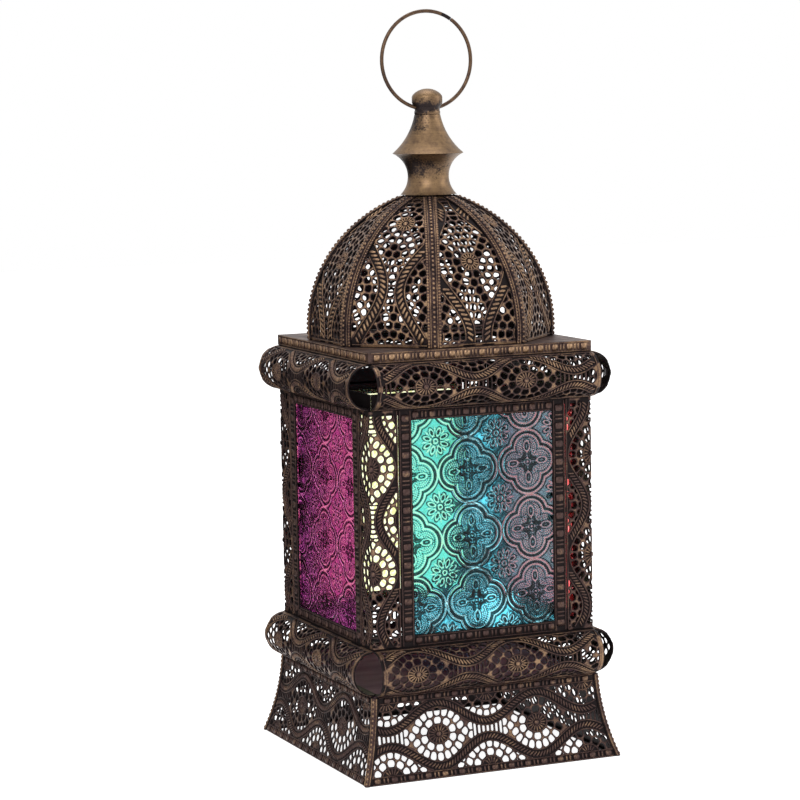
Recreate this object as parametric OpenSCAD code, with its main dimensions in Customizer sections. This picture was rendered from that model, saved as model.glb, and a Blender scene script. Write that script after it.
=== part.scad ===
// Square table lantern of pierced sheet metal and coloured glass.
// Front is -Y, left is -X, +Z is up, and the origin is under the middle of the base.
// Each side is drawn on the back face (+Y) and then turned into its place.

/* [Body] */
// Width of the square body across its flat sides
body_w = 128; // [116:1:140]
// Height of the walls between the two rolls
wall_h = 124.5; // [110:0.5:140]
// Thickness of the sheet metal
sheet_t = 0.8; // [0.6:0.1:1]
// Outer radius of the half-round rolls
roll_r = 12.25; // [11:0.25:13.5]
// Height of the wall that shows behind the open ends of the upper rolls
upstand_h = 8.5; // [6:0.5:12]
// Width of each leg of a corner post
post_w = 16; // [14:0.5:18]

/* [Skirt] */
// Height of the flared skirt
skirt_h = 44.5; // [38:0.5:50]
// How far the top of the skirt stands outside the body
skirt_proud = 1.2; // [1:0.1:2]
// How far each side flares out on its way down
skirt_flare = 8.8; // [5:0.1:11]
// Radius of the hollow curve of the skirt
skirt_bend_r = 150; // [120:5:300]
// Width of the hem turned in under the skirt
hem_w = 3; // [2:0.5:5]

/* [Windows] */
// Width of the boss-and-bar strip at the sides of a window
stile_w = 7.5; // [6:0.5:8]
// Height of the strip under and over a window
rail_h = 6; // [5:0.5:8]
// Thickness of the glass
glass_t = 3; // [2:0.5:4]
// How far the glass reaches behind the strips
glass_lap = 3; // [2:0.5:3]

/* [Roof] */
// Height of the folded edge of the roof plate
plate_edge_h = 5.5; // [4:0.5:8]
// Radius of the vent under the dome
vent_r = 52; // [40:1:54]
// Half width of the dome across the middle of opposite gores, at its base
dome_half = 60.8; // [58:0.2:62]
// Radius of the arc that each gore follows
gore_arc_r = 75.07; // [72:0.5:90]
// Height of the dome, measured at the finial's foot
dome_h = 76; // [70:0.5:80]
// Width of the beaded strip over each joint between gores
rib_w = 7.6; // [6:0.2:9]

/* [Finial] */
// Radius of the finial's foot
foot_r = 15.1; // [13:0.1:17]
// Radius of the finial's sharp rim
rim_r = 19.1; // [17:0.1:22]
// Height from foot to rim
neck_h = 22; // [18:0.5:24]
// Radius of the hollow curve of the neck
neck_arc_r = 13.5; // [12.5:0.25:14.5]
// Height from the rim to the knob
bell_h = 20.5; // [18:0.5:24]
// Radius of the top of the bell
bell_top_r = 6.95; // [6:0.05:7.5]
// Radius of the hollow curve of the bell
bell_arc_r = 36; // [30:1:60]
// Radius of the knob
knob_r = 8.2; // [8:0.1:10]
// Radius of the threaded stud that holds the finial
stud_r = 2; // [1.5:0.25:2.5]

/* [Ring] */
// Outer radius of the carrying ring
ring_r = 27; // [24:0.5:30]
// Radius of the ring's wire
wire_r = 1; // [0.8:0.1:1.2]

/* [Piercing] */
// Length of one repeat of the pierced pattern along the rolls and skirt
pitch = 57; // [54:0.5:60]
// Length of one repeat of the pattern up the corner posts
post_pitch = 54.5; // [52:0.5:58]
// Radius of the inner ring of holes round a rosette
inner_ring_r = 5.4; // [5:0.1:5.8]
// Radius of the outer ring of holes round a rosette
outer_ring_r = 9.5; // [9.2:0.1:10]
// Radius of the holes in the inner ring
inner_hole_r = 1.25; // [1:0.05:1.4]
// Radius of the holes in the outer ring
outer_hole_r = 1.65; // [1.2:0.05:1.8]

/* [Door] */
// Radius of the hinge knuckles
knuckle_r = 1.6; // [1.4:0.1:1.8]
// Length of each knuckle
knuckle_h = 4; // [3:0.5:6]
// Radius of the hinge pins
pin_r = 0.8; // [0.6:0.1:0.9]
// Distance from the latch's pivot to its tip
latch_l = 11; // [9:0.5:14]

/* [Inside] */
// Radius of the candle cup's inside
cup_r = 19.8; // [16:0.1:22]
// Height of the candle cup
cup_h = 8; // [6:0.5:12]

/* [Hidden] */
$fn = 96;
hole_fn = 24;
cut = 1;             // overrun of a cutting tool
fit = 0.05;          // running clearance of pins and studs
seat = 0.02;         // clearance of pieces that lie on each other
door_gap = 0.4;      // gap round the door
play = 0.3;          // clearance between pieces that move past each other

// Turn that brings a piece from the back face to each side
back = 0;
left = 90;
front = 180;
right = 270;
quarter = 90;

// Heights of the joints between the storeys
half = body_w / 2;
z_floor = skirt_h;
z_wall = z_floor + 2 * roll_r;
z_head = z_wall + wall_h;
z_roof = z_head + 2 * roll_r;
z_dome = z_roof + plate_edge_h;

// Skirt: an arc through its top and bottom edges, with the centre outside
skirt_top = half + skirt_proud;
skirt_foot = skirt_top + skirt_flare;
skirt_chord = norm([skirt_flare, skirt_h]);
skirt_drop = sqrt(skirt_bend_r * skirt_bend_r - skirt_chord * skirt_chord / 4);
skirt_c = [(skirt_top + skirt_foot) / 2 + skirt_drop * skirt_h / skirt_chord,
    skirt_h / 2 + skirt_drop * skirt_flare / skirt_chord];
function skirt_x(z) = skirt_c[0] - sqrt(skirt_bend_r * skirt_bend_r - (z - skirt_c[1]) * (z - skirt_c[1]));
strip_w = 2.2;
strip_out = 0.5;

// Rolls: each has a ledge and a lip inside the sheet that it is soldered to
ledge_w = 2 * sheet_t;
lip_h = 3;
lip_half = half - ledge_w - seat;
wall_in = half - sheet_t;

// Windows and door
window_h = wall_h - 2 * rail_h;
frame_half = half - post_w;
window_w = 2 * (frame_half - stile_w);
pane_half = window_w / 2 + glass_lap;
pane_h = wall_h - 2 * lip_h - 2 * door_gap;
pane_back = wall_in - glass_t;
boss_w = 4;
boss_h = 0.6;
boss_pitch = 9.6;

// Clips: two on each side of a pane, a little above its middle
clip_gap = 12;
clip_rise = 4.8;
clip_len = 2.8;
clip_reach = 4.5;

// Gores: an arc through the base of the dome and the finial's foot
gore_turn = 45;
gore_half_turn = gore_turn / 2;
arc_foot = [dome_half, z_dome];
arc_top = [foot_r * cos(gore_half_turn), z_dome + dome_h];
arc_chord = norm(arc_top - arc_foot);
arc_mid = (arc_top + arc_foot) / 2;
arc_drop = sqrt(gore_arc_r * gore_arc_r - arc_chord * arc_chord / 4);
arc_c = [arc_mid[0] - arc_drop * (arc_top[1] - arc_foot[1]) / arc_chord,
    arc_mid[1] - arc_drop * (arc_foot[0] - arc_top[0]) / arc_chord];
function arc_z(x, r) = arc_c[1] + sqrt(r * r - (x - arc_c[0]) * (x - arc_c[0]));
gore_seam = 0.1;
gore_end = 5;
rib_t = 0.8;
rib_end = foot_r - 3 * sheet_t;

// Finial
z_foot = arc_z((foot_r - 1.5 * sheet_t) * cos(gore_half_turn), gore_arc_r + rib_t) + seat;
z_rim = z_foot + neck_h;
z_bell = z_rim + bell_h;
// The neck's arc runs through the foot and the rim
neck_chord = norm([rim_r - foot_r, neck_h]);
neck_drop = sqrt(neck_arc_r * neck_arc_r - neck_chord * neck_chord / 4);
neck_c = [(rim_r + foot_r) / 2 + neck_drop * neck_h / neck_chord,
    z_foot + neck_h / 2 - neck_drop * (rim_r - foot_r) / neck_chord];
bell_chord = norm([rim_r - bell_top_r, bell_h]);
bell_drop = sqrt(bell_arc_r * bell_arc_r - bell_chord * bell_chord / 4);
bell_c = [(rim_r + bell_top_r) / 2 + bell_drop * bell_h / bell_chord,
    z_rim + bell_h / 2 + bell_drop * (rim_r - bell_top_r) / bell_chord];
collar_h = 3.3;
knob_low = 5.4;
knob_side = 10.3;
knob_cap_h = 3.6;
knob_cap_r = (knob_r * knob_r + knob_cap_h * knob_cap_h) / (2 * knob_cap_h);
crown_r = 17;
nut_h = 3.2;
nut_r = 2 * stud_r;
stud_tail = 2;
stud_sink = 1.5;

// Ring: its wire is bowed inside the bore, so the bore is wide enough for the bow
ring_mid = ring_r - wire_r;
ring_bow = ring_mid - sqrt(ring_mid * ring_mid - knob_r * knob_r);
bore_r = wire_r + ring_bow / 2 + play;
bore_floor = 0.2;
z_bore = z_bell + stud_sink + bore_floor + bore_r;
ring_gap_turn = 1;
ring_gap_at = 56;

// Pierced pattern, seen on a flat strip as [along, across, radius]. Two ropes wave about the middle,
// a rosette sits where they are far apart, and half a rosette at each edge where they are close.
rope_mid = 9;
rope_sway = 6.2;
rope_half = 2.3;
edge_v = 17.8;
dome_pitch = 80;
dome_rope_mid = 13.4;
dome_rope_sway = 8.6;
dome_edge_v = 25;
// Rings of holes round a rosette, as [radius, count, hole radius, turn]
rings = [[inner_ring_r, 9, inner_hole_r, 0.5], [outer_ring_r, 13, outer_hole_r, 0]];
third_ring_step = 4.2;
dome_rings = concat(rings, [[outer_ring_r + third_ring_step, 19, outer_hole_r, 0.5]]);
web = 0.6;
neck_step = 4;
neck_hole = 0.8;
function rosette_of(table) = [for (g = table) for (i = [0:g[1] - 1]) let(a = 360 * (i + g[3]) / g[1])
    [g[0] * cos(a), g[0] * sin(a), g[2]]];
rosette = rosette_of(rings);
dome_rosette = rosette_of(dome_rings);
neck = [for (s = [-1, 1]) for (i = [0:2]) [s * (i + 0.5) * neck_step, 0, neck_hole * (1 + i / 2)]];
// A hole stays if it keeps clear of both ropes
function clear_of_rope(h, p, mid, sway) =
    abs(abs(h[1]) - mid - sway * cos(360 * h[0] / p)) > rope_half + h[2];
function period(p, mid, sway, edge, flower) = [for (h = concat(flower,
        [for (g = [-1, 1]) for (h = neck) if (g * h[0] > 0) [h[0] - g * p / 2, h[1], h[2]]],
        [for (s = [-1, 1]) for (g = [-1, 1]) for (h = flower)
            if (s * h[1] < 0 && g * h[0] > -seat) [h[0] - g * p / 2, h[1] + s * edge, h[2]]]))
    if (clear_of_rope(h, p, mid, sway)) h];
function strip_holes(p, reach, phase, one) = let(n = ceil(reach / p) + 1)
    [for (k = [-n:n]) for (h = one) [h[0] + k * p + phase, h[1], h[2]]];
wall_period = period(pitch, rope_mid, rope_sway, edge_v, rosette);
post_period = period(post_pitch, rope_mid, rope_sway, edge_v, rosette);
dome_period = period(dome_pitch, dome_rope_mid, dome_rope_sway, dome_edge_v, dome_rosette);

// Places of the first rosette along each strip
lower_phase = 44;
upper_phase = 37;
skirt_phase = 29.7;
post_phase = 39.9;
post_holes = strip_holes(post_pitch, wall_h, post_phase, post_period);
post_border = 1.5;
lower_holes = strip_holes(pitch, body_w, lower_phase, wall_period);
upper_holes = strip_holes(pitch, body_w, upper_phase, wall_period);
skirt_holes = strip_holes(pitch, body_w, skirt_phase, wall_period);
skirt_border = 4;
roll_border = 3;
roll_v = roll_r * (PI / 2) - roll_border;
// Places of the rosettes up a gore, for the gores over the sides and over the corners
side_gore_phase = 39.2;
corner_gore_phase = 64.7;
dome_phase = [side_gore_phase, corner_gore_phase];
degrees = 180 / PI;

// Hinges and latch
hinge_x = frame_half - door_gap / 2;
hinge_y = half + knuckle_r + play;
hinge_inset = 22;
hinge_z = [z_wall + hinge_inset, z_head - hinge_inset];
leaf_w = 7;
leaf_in = knuckle_r + play;
pin_head_lap = 0.5;
pin_head_r = pin_r + pin_head_lap;
pin_head_h = 0.6;
latch_w = 4.4;
latch_a = 12.5;
latch_x = half - latch_a;
latch_z = z_wall + post_phase + post_pitch - post_pitch * acos((latch_a - rope_mid) / rope_sway) / 360;
latch_stand = 1.1;
latch_pin_r = 1;
latch_head_r = 2;

rivet_r = 2;
rivet_head_r = 3.4;
rivet_head_h = 0.8;
cup_base = 2 * sheet_t;

bronze = "#5a4330";
bright_bronze = "#8a6a42";

// Extrudes a (Y, Z) profile along X, centred
module along_x(length) {
    rotate([90, 0, 90]) linear_extrude(length, center = true) children();
}
// Extrudes an (X, Z) outline from depth y0 out to y1
module along_y(y0, y1) {
    translate([0, y1, 0]) rotate([90, 0, 0]) linear_extrude(y1 - y0) children();
}
module ring_2d(outer, inner) {
    difference() {
        circle(outer);
        circle(inner);
    }
}

// The carrying ring, a split ring of round wire that stands up from the knob
module hanging_ring() {
    color(bright_bronze) translate([0, 0, z_bore - ring_bow / 2 + ring_mid]) rotate([90, 0, 0])
        rotate([0, 0, ring_gap_at + ring_gap_turn]) rotate_extrude(angle = 360 - ring_gap_turn)
            translate([ring_mid, 0]) circle(wire_r, $fn = 32);
}

// Knob: a turned cap with a cross bore for the ring
module finial_knob() {
    color(bright_bronze) difference() {
        translate([0, 0, z_bell]) rotate_extrude() {
            polygon([[0, 0], [bell_top_r, 0], [bell_top_r, collar_h], [knob_r, knob_low], [knob_r, knob_side],
                [0, knob_side]]);
            intersection() {
                translate([0, knob_side + knob_cap_h - knob_cap_r]) circle(knob_cap_r);
                translate([0, knob_side - seat]) square([knob_r, 2 * knob_cap_h]);
            }
        }
        translate([0, 0, z_bore]) rotate([0, 90, 0]) cylinder(h = 3 * knob_r, r = bore_r, center = true);
        translate([0, 0, z_bell - cut]) cylinder(h = cut + stud_sink + seat, r = stud_r + fit);
    }
}

// Bell: the spun upper half of the finial
module finial_bell() {
    color(bright_bronze) rotate_extrude() {
        intersection() {
            translate(bell_c) ring_2d(bell_arc_r + sheet_t, bell_arc_r);
            translate([0, z_rim]) square([rim_r, bell_h]);
        }
        translate([stud_r + fit, z_bell - sheet_t]) square([bell_top_r - stud_r - fit, sheet_t]);
    }
}

// Neck: the spun lower half of the finial, which stands on the ribs
module finial_neck() {
    color(bright_bronze) rotate_extrude() intersection() {
        translate(neck_c) ring_2d(neck_arc_r + sheet_t, neck_arc_r);
        translate([0, z_foot]) square([rim_r, neck_h]);
    }
}

// Stud from under the crown up into the knob
module finial_stud() {
    color("silver") translate([0, 0, crown_z - nut_h - stud_tail])
        cylinder(h = z_bell + stud_sink - crown_z + nut_h + stud_tail, r = stud_r);
}

// Level of the underside of the crown at the stud
crown_z = arc_z(stud_r + fit, gore_arc_r - 2 * sheet_t - fit) - seat;

// Nut that pulls the crown and the finial together
module finial_nut() {
    color("silver") translate([0, 0, crown_z - nut_h]) difference() {
        cylinder(h = nut_h - nut_r / 10, r = nut_r, $fn = 6);
        translate([0, 0, -cut]) cylinder(h = nut_h + 2 * cut, r = stud_r + seat);
    }
}

// Crown: a dished washer under the tops of the gores
module dome_crown() {
    color(bronze) rotate_extrude() intersection() {
        translate(arc_c) ring_2d(gore_arc_r - sheet_t - fit, gore_arc_r - 2 * sheet_t - fit);
        translate([stud_r + fit, z_dome]) square([crown_r - stud_r, 2 * dome_h]);
    }
}

// One gore: sheet bent one way, mitred to its neighbours and pierced at right angles to the sheet
module dome_gore(k) {
    rows = [for (h = strip_holes(dome_pitch, dome_h, dome_phase[k % 2], dome_period))
        let(b = h[0] / gore_arc_r * degrees,
            y = arc_c[0] + gore_arc_r * cos(b), z = arc_c[1] + gore_arc_r * sin(b))
        if (z - h[2] > z_dome + 2 * web && y - h[2] > rib_end + 2 * web &&
            abs(h[1]) + h[2] < (y - h[2]) * tan(gore_half_turn) - rib_w / 2 - web) [b, h[1], h[2]]];
    color(bronze) rotate([0, 0, k * gore_turn]) difference() {
        intersection() {
            along_x(3 * dome_half) intersection() {
                translate(arc_c) ring_2d(gore_arc_r, gore_arc_r - sheet_t);
                translate([gore_end, z_dome]) square([dome_half, 2 * dome_h]);
            }
            translate([0, gore_seam, z_dome]) linear_extrude(2 * dome_h)
                polygon([[0, 0], [2 * dome_half * tan(gore_half_turn), 2 * dome_half],
                    [-2 * dome_half * tan(gore_half_turn), 2 * dome_half]]);
        }
        for (h = rows) translate([h[1], arc_c[0], arc_c[1]]) rotate([h[0] - quarter, 0, 0])
            translate([0, 0, gore_arc_r - sheet_t - cut])
                cylinder(h = sheet_t + 2 * cut, r = h[2], $fn = hole_fn);
    }
}

// Ribs: strips folded over the joints, each lying on two gores
module dome_ribs() {
    far = 2 * dome_half;
    color(bright_bronze) for (k = [0:7]) rotate([0, 0, (k + 0.5) * gore_turn]) difference() {
        intersection() {
            translate([-rib_w / 2, 0, z_dome]) cube([rib_w, far, far]);
            rotate([0, 0, gore_half_turn]) along_x(far) translate(arc_c) circle(gore_arc_r + rib_t);
            rotate([0, 0, -gore_half_turn]) along_x(far) translate(arc_c) circle(gore_arc_r + rib_t);
        }
        intersection() {
            rotate([0, 0, gore_half_turn]) along_x(far) translate(arc_c) circle(gore_arc_r + seat);
            rotate([0, 0, -gore_half_turn]) along_x(far) translate(arc_c) circle(gore_arc_r + seat);
        }
        translate([0, 0, z_dome]) cylinder(h = far, r = rib_end);
    }
}

// Roof plate: a tray turned down at its edges, with the vent under the dome
module roof_plate() {
    color(bronze) difference() {
        translate([-half, -half, z_roof]) cube([body_w, body_w, plate_edge_h]);
        translate([-wall_in, -wall_in, z_roof - cut])
            cube([2 * wall_in, 2 * wall_in, cut + plate_edge_h - sheet_t]);
        translate([0, 0, z_roof]) cylinder(h = plate_edge_h + cut, r = vent_r);
    }
}

// Half-round sheet centred on the body's face at height zc
module roll_2d(zc) {
    intersection() {
        translate([half, zc]) ring_2d(roll_r, roll_r - sheet_t);
        translate([half, zc - roll_r]) square([roll_r, 2 * roll_r]);
    }
}
// The ledge at one edge of a roll with the lip that stands on it; s is 1 upwards and -1 downwards
module ledge_2d(z, s) {
    low = s > 0 ? z - sheet_t : z;
    translate([half - ledge_w, low]) square([ledge_w + sheet_t / 4, sheet_t]);
    translate([half - ledge_w, s > 0 ? low : z - lip_h]) square([sheet_t, lip_h + sheet_t]);
}
module roll(zc, base, holes) {
    color(bronze) {
        difference() {
            union() {
                along_x(body_w) roll_2d(zc);
                along_x(2 * lip_half) {
                    ledge_2d(zc + roll_r, 1);
                    if (!base) ledge_2d(zc - roll_r, -1);
                    translate([half - ledge_w, zc - roll_r])
                        square(base ? [ledge_w + sheet_t / 4, sheet_t] : [sheet_t, upstand_h]);
                }
            }
            for (h = holes) if (abs(h[0]) + h[2] < half - roll_border && abs(h[1]) + h[2] < roll_v)
                translate([h[0], half, zc]) rotate([h[1] / roll_r * degrees - quarter, 0, 0])
                    translate([0, 0, roll_r - sheet_t - cut / 2])
                        cylinder(h = sheet_t + cut, r = h[2], $fn = hole_fn);
        }
    }
}
module upper_roll(side) {
    rotate([0, 0, side]) roll(z_head + roll_r, false, upper_holes);
}
module lower_roll(side) {
    rotate([0, 0, side]) roll(z_floor + roll_r, true, lower_holes);
}

// Corner post: pierced sheet bent round the corner between the back and right faces
module post(turn, rivet) {
    color(bronze) rotate([0, 0, turn]) {
        for (s = [0, 1]) mirror(s * [1, -1, 0]) along_y(wall_in, half) difference() {
            translate([half - post_w, z_wall]) square([post_w, wall_h]);
            for (h = post_holes) if (h[1] - h[2] > post_border && h[1] + h[2] < post_w - post_border / 2 &&
                    h[0] - h[2] > post_border && h[0] + h[2] < wall_h - post_border)
                translate([half - h[1], z_wall + h[0]]) circle(h[2], $fn = hole_fn);
            if (rivet && s == 1) translate([latch_x, latch_z]) circle(latch_pin_r + fit);
        }
    }
}

// True where a boss at height z keeps clear of the leaves of both hinges
function clear_of_hinge(z) = min([for (h = hinge_z) abs(z - h)]) > 1.5 * knuckle_h + boss_w / 2 + play;

// Flat strip round a window, with raised bosses along its middle
module window_frame(gap) {
    low = z_wall + gap;
    tall = wall_h - 2 * gap;
    wide = frame_half - gap;
    mid_x = window_w / 4 + wide / 2;
    bosses = floor((wall_h - boss_w) / boss_pitch / 2);
    across = floor(window_w / boss_pitch / 2);
    color(bronze) {
        along_y(wall_in, half) difference() {
            translate([-wide, low]) square([2 * wide, tall]);
            translate([-window_w / 2, z_wall + rail_h]) square([window_w, window_h]);
        }
        for (s = [-1, 1]) for (i = [-bosses:bosses]) let(z = z_wall + wall_h / 2 + i * boss_pitch)
            if (gap == 0 || s < 0 || clear_of_hinge(z))
                translate([s * mid_x - boss_w / 2, half - seat, z - boss_w / 2])
                    cube([boss_w, boss_h + seat, boss_w]);
        for (z = [z_wall + rail_h / 2, z_head - rail_h / 2]) for (i = [-across:across])
            translate([i * boss_pitch - boss_w / 2, half - seat, z - boss_w / 2])
                cube([boss_w, boss_h + seat, boss_w]);
    }
}

// Pane of pressed glass behind the frame
module pane(side, tint) {
    color(tint, 0.5) rotate([0, 0, side])
        translate([-pane_half, pane_back, z_wall + wall_h / 2 - pane_h / 2])
            cube([2 * pane_half, glass_t - seat, pane_h]);
}

// Bent tabs that hold one pane against its frame
module clips(side) {
    arm_x = pane_half + fit;
    color("#3a2c20") rotate([0, 0, side]) for (s = [0, 1]) mirror([s, 0, 0]) for (d = [-1, 1])
        translate([0, 0, z_wall + wall_h / 2 + clip_rise + d * clip_gap / 2 - clip_len / 2]) {
            translate([arm_x, pane_back - fit - sheet_t, 0])
                cube([sheet_t, glass_t + fit + sheet_t, clip_len]);
            translate([pane_half - clip_reach, pane_back - fit - sheet_t, 0])
                cube([clip_reach + fit + sheet_t, sheet_t, clip_len]);
        }
}

// Floor under the candle, held between the skirt and the lower rolls
module floor_plate() {
    reach = skirt_top - sheet_t - seat;
    color("#6b5f58") difference() {
        translate([-reach, -reach, z_floor - sheet_t]) cube([2 * reach, 2 * reach, sheet_t]);
        translate([0, 0, z_floor - sheet_t - cut]) cylinder(h = sheet_t + 2 * cut, r = rivet_r + fit);
    }
}

// Cup that keeps the candle in the middle; its base is thick enough to sink the rivet's head
module candle_cup() {
    color("#6b5f58") translate([0, 0, z_floor]) difference() {
        cylinder(h = cup_h, r = cup_r + sheet_t);
        translate([0, 0, cup_base]) cylinder(h = cup_h, r = cup_r);
        translate([0, 0, sheet_t]) cylinder(h = cup_h, r = rivet_head_r + fit);
        translate([0, 0, -cut]) cylinder(h = cup_h, r = rivet_r + fit);
    }
}
module cup_rivet() {
    color("silver") translate([0, 0, z_floor]) {
        translate([0, 0, -sheet_t - rivet_head_h]) cylinder(h = rivet_head_h, r = rivet_head_r);
        translate([0, 0, -sheet_t - seat]) cylinder(h = 2 * sheet_t + 2 * seat, r = rivet_r);
        translate([0, 0, sheet_t]) cylinder(h = cup_base - sheet_t - fit, r = rivet_head_r);
    }
}

// Skirt: one flared and pierced side, mitred at the corners, with a hem turned in at the foot
module skirt(side) {
    color(bronze) rotate([0, 0, side]) difference() {
        intersection() {
            along_x(2 * skirt_foot) {
                intersection() {
                    translate(skirt_c) ring_2d(skirt_bend_r + sheet_t, skirt_bend_r);
                    square([skirt_foot, skirt_h]);
                }
                translate([skirt_foot - hem_w, 0])
                    square([skirt_x(sheet_t) - skirt_foot + hem_w - sheet_t / 4, sheet_t]);
            }
            translate([0, seat, 0]) linear_extrude(skirt_h)
                polygon([[0, 0], [2 * skirt_foot, 2 * skirt_foot], [-2 * skirt_foot, 2 * skirt_foot]]);
        }
        along_y(skirt_top - hem_w, skirt_foot + cut) for (h = skirt_holes) let(z = skirt_h / 2 - h[1])
            if (abs(h[0]) + h[2] < skirt_x(z) - 2 * strip_w && abs(h[1]) + h[2] < skirt_h / 2 - skirt_border)
                translate([h[0], z]) circle(h[2], $fn = hole_fn);
    }
}

// Strips folded over the mitres of the skirt
module skirt_corner_strips() {
    core = 2 * skirt_foot;
    color(bright_bronze) for (k = [0:3]) rotate([0, 0, (k + 0.5) * quarter]) difference() {
        intersection() {
            translate([-strip_w, 0, 0]) cube([2 * strip_w, core, skirt_h]);
            for (s = [-1, 1]) rotate([0, 0, s * quarter / 2]) along_x(2 * core)
                translate(skirt_c) circle(skirt_bend_r - seat);
        }
        for (s = [-1, 1]) rotate([0, 0, s * quarter / 2]) along_x(2 * core)
            translate(skirt_c) circle(skirt_bend_r - seat - strip_out);
    }
}

// Knuckles of one leaf: each entry of rows is [bottom, height] above the hinge's lower end
module leaf(z, s, rows) {
    translate([hinge_x, 0, z - 1.5 * knuckle_h]) difference() {
        union() {
            translate([s > 0 ? leaf_in : -leaf_w, half, 0]) cube([leaf_w - leaf_in, sheet_t, 3 * knuckle_h]);
            for (r = rows) translate([0, 0, r[0]]) {
                translate([0, hinge_y, 0]) cylinder(h = r[1], r = knuckle_r, $fn = 48);
                translate([s > 0 ? 0 : -leaf_in - seat, half, 0]) cube([leaf_in + seat, sheet_t, r[1]]);
            }
        }
        translate([0, hinge_y, -cut]) cylinder(h = 3 * knuckle_h + 2 * cut, r = pin_r + fit, $fn = 48);
    }
}
module hinge_post_leaves() {
    color(bright_bronze) for (z = hinge_z)
        leaf(z, 1, [[0, knuckle_h - play], [2 * knuckle_h + play, knuckle_h - play]]);
}
module hinge_door_leaves() {
    color(bright_bronze) for (z = hinge_z) leaf(z, -1, [[knuckle_h, knuckle_h]]);
}
module hinge_pins() {
    color("silver") for (z = hinge_z) translate([hinge_x, hinge_y, z - 1.5 * knuckle_h]) {
        translate([0, 0, -pin_head_h]) cylinder(h = 3 * knuckle_h + 2 * pin_head_h, r = pin_r, $fn = 48);
        for (h = [-pin_head_h, 3 * knuckle_h]) translate([0, 0, h])
            cylinder(h = pin_head_h, r = pin_head_r, $fn = 48);
    }
}

// Latch: a leaf that hangs from a rivet on the post and swings up over the door's edge
module latch() {
    color(bright_bronze) along_y(half + latch_stand + fit, half + latch_stand + fit + sheet_t) difference() {
        union() {
            translate([-latch_x, latch_z]) circle(latch_w / 2, $fn = 48);
            translate([-latch_x, latch_z - latch_l]) circle(latch_w / 2, $fn = 48);
            translate([-latch_x - latch_w / 2, latch_z - latch_l]) square([latch_w, latch_l]);
        }
        translate([-latch_x, latch_z]) circle(latch_pin_r + fit, $fn = 48);
    }
}
module latch_rivet() {
    head = half + latch_stand + sheet_t + 2 * fit;
    color("silver") translate([-latch_x, 0, latch_z]) rotate([-quarter, 0, 0]) {
        translate([0, 0, wall_in - sheet_t]) cylinder(h = sheet_t - seat, r = latch_head_r, $fn = 48);
        translate([0, 0, wall_in - sheet_t])
            cylinder(h = head - wall_in + 2 * sheet_t, r = latch_pin_r, $fn = 48);
        translate([0, 0, half + seat]) cylinder(h = latch_stand - seat, r = latch_head_r, $fn = 48);
        translate([0, 0, head]) cylinder(h = sheet_t, r = latch_head_r, $fn = 48);
    }
}

hanging_ring();
finial_knob();
finial_bell();
finial_neck();
finial_stud();
finial_nut();
dome_crown();
dome_gore(0);  // dome_gore_1
dome_gore(1);  // dome_gore_2
dome_gore(2);  // dome_gore_3
dome_gore(3);  // dome_gore_4
dome_gore(4);  // dome_gore_5
dome_gore(5);  // dome_gore_6
dome_gore(6);  // dome_gore_7
dome_gore(7);  // dome_gore_8
dome_ribs();
roof_plate();
upper_roll(front);  // upper_roll_front
upper_roll(left);  // upper_roll_left
upper_roll(back);  // upper_roll_back
upper_roll(right);  // upper_roll_right
lower_roll(front);  // lower_roll_front
lower_roll(left);  // lower_roll_left
lower_roll(back);  // lower_roll_back
lower_roll(right);  // lower_roll_right
post(front, false);  // post_front_left
post(right, false);  // post_front_right
post(left, true);  // post_back_left
post(back, false);  // post_back_right
rotate([0, 0, front]) window_frame(0);  // frame_front
rotate([0, 0, left]) window_frame(0);  // frame_left
rotate([0, 0, right]) window_frame(0);  // frame_right
rotate([0, 0, back]) window_frame(door_gap);  // door_frame
pane(front, "#1fb8b0");  // glass_front
pane(left, "#a02888");  // glass_left
pane(right, "#c82020");  // glass_right
pane(back, "#c8d820");  // glass_back
clips(front);  // clips_front
clips(left);  // clips_left
clips(right);  // clips_right
clips(back);  // clips_back
floor_plate();
candle_cup();
cup_rivet();
skirt(front);  // skirt_front
skirt(left);  // skirt_left
skirt(back);  // skirt_back
skirt(right);  // skirt_right
skirt_corner_strips();
hinge_post_leaves();
hinge_door_leaves();
hinge_pins();
latch();
latch_rivet();
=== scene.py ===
import math

import bmesh
import bpy
import numpy as np
from mathutils import Matrix, Vector


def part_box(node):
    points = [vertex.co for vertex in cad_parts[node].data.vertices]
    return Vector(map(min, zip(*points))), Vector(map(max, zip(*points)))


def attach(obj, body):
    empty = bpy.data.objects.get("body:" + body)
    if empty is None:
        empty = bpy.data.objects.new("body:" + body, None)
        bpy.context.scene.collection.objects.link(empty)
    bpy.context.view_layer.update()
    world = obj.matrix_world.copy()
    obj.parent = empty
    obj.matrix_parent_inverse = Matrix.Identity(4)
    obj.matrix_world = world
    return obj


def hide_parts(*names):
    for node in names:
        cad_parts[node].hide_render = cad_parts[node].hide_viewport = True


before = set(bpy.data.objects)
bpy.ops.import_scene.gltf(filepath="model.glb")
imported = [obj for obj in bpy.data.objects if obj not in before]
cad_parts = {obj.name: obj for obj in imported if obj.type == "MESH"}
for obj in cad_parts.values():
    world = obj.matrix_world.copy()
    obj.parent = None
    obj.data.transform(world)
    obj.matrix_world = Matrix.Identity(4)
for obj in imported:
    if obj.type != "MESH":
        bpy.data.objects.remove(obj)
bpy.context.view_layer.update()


# Skirt
# Four flared sides of pierced sheet iron, mitred at the corners, that the lantern stands on. The
# sheet is stamped in one stroke, bent, given an antique bronze finish and rubbed, which leaves
# what stands up gold-brown and the hollows near black.

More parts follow.
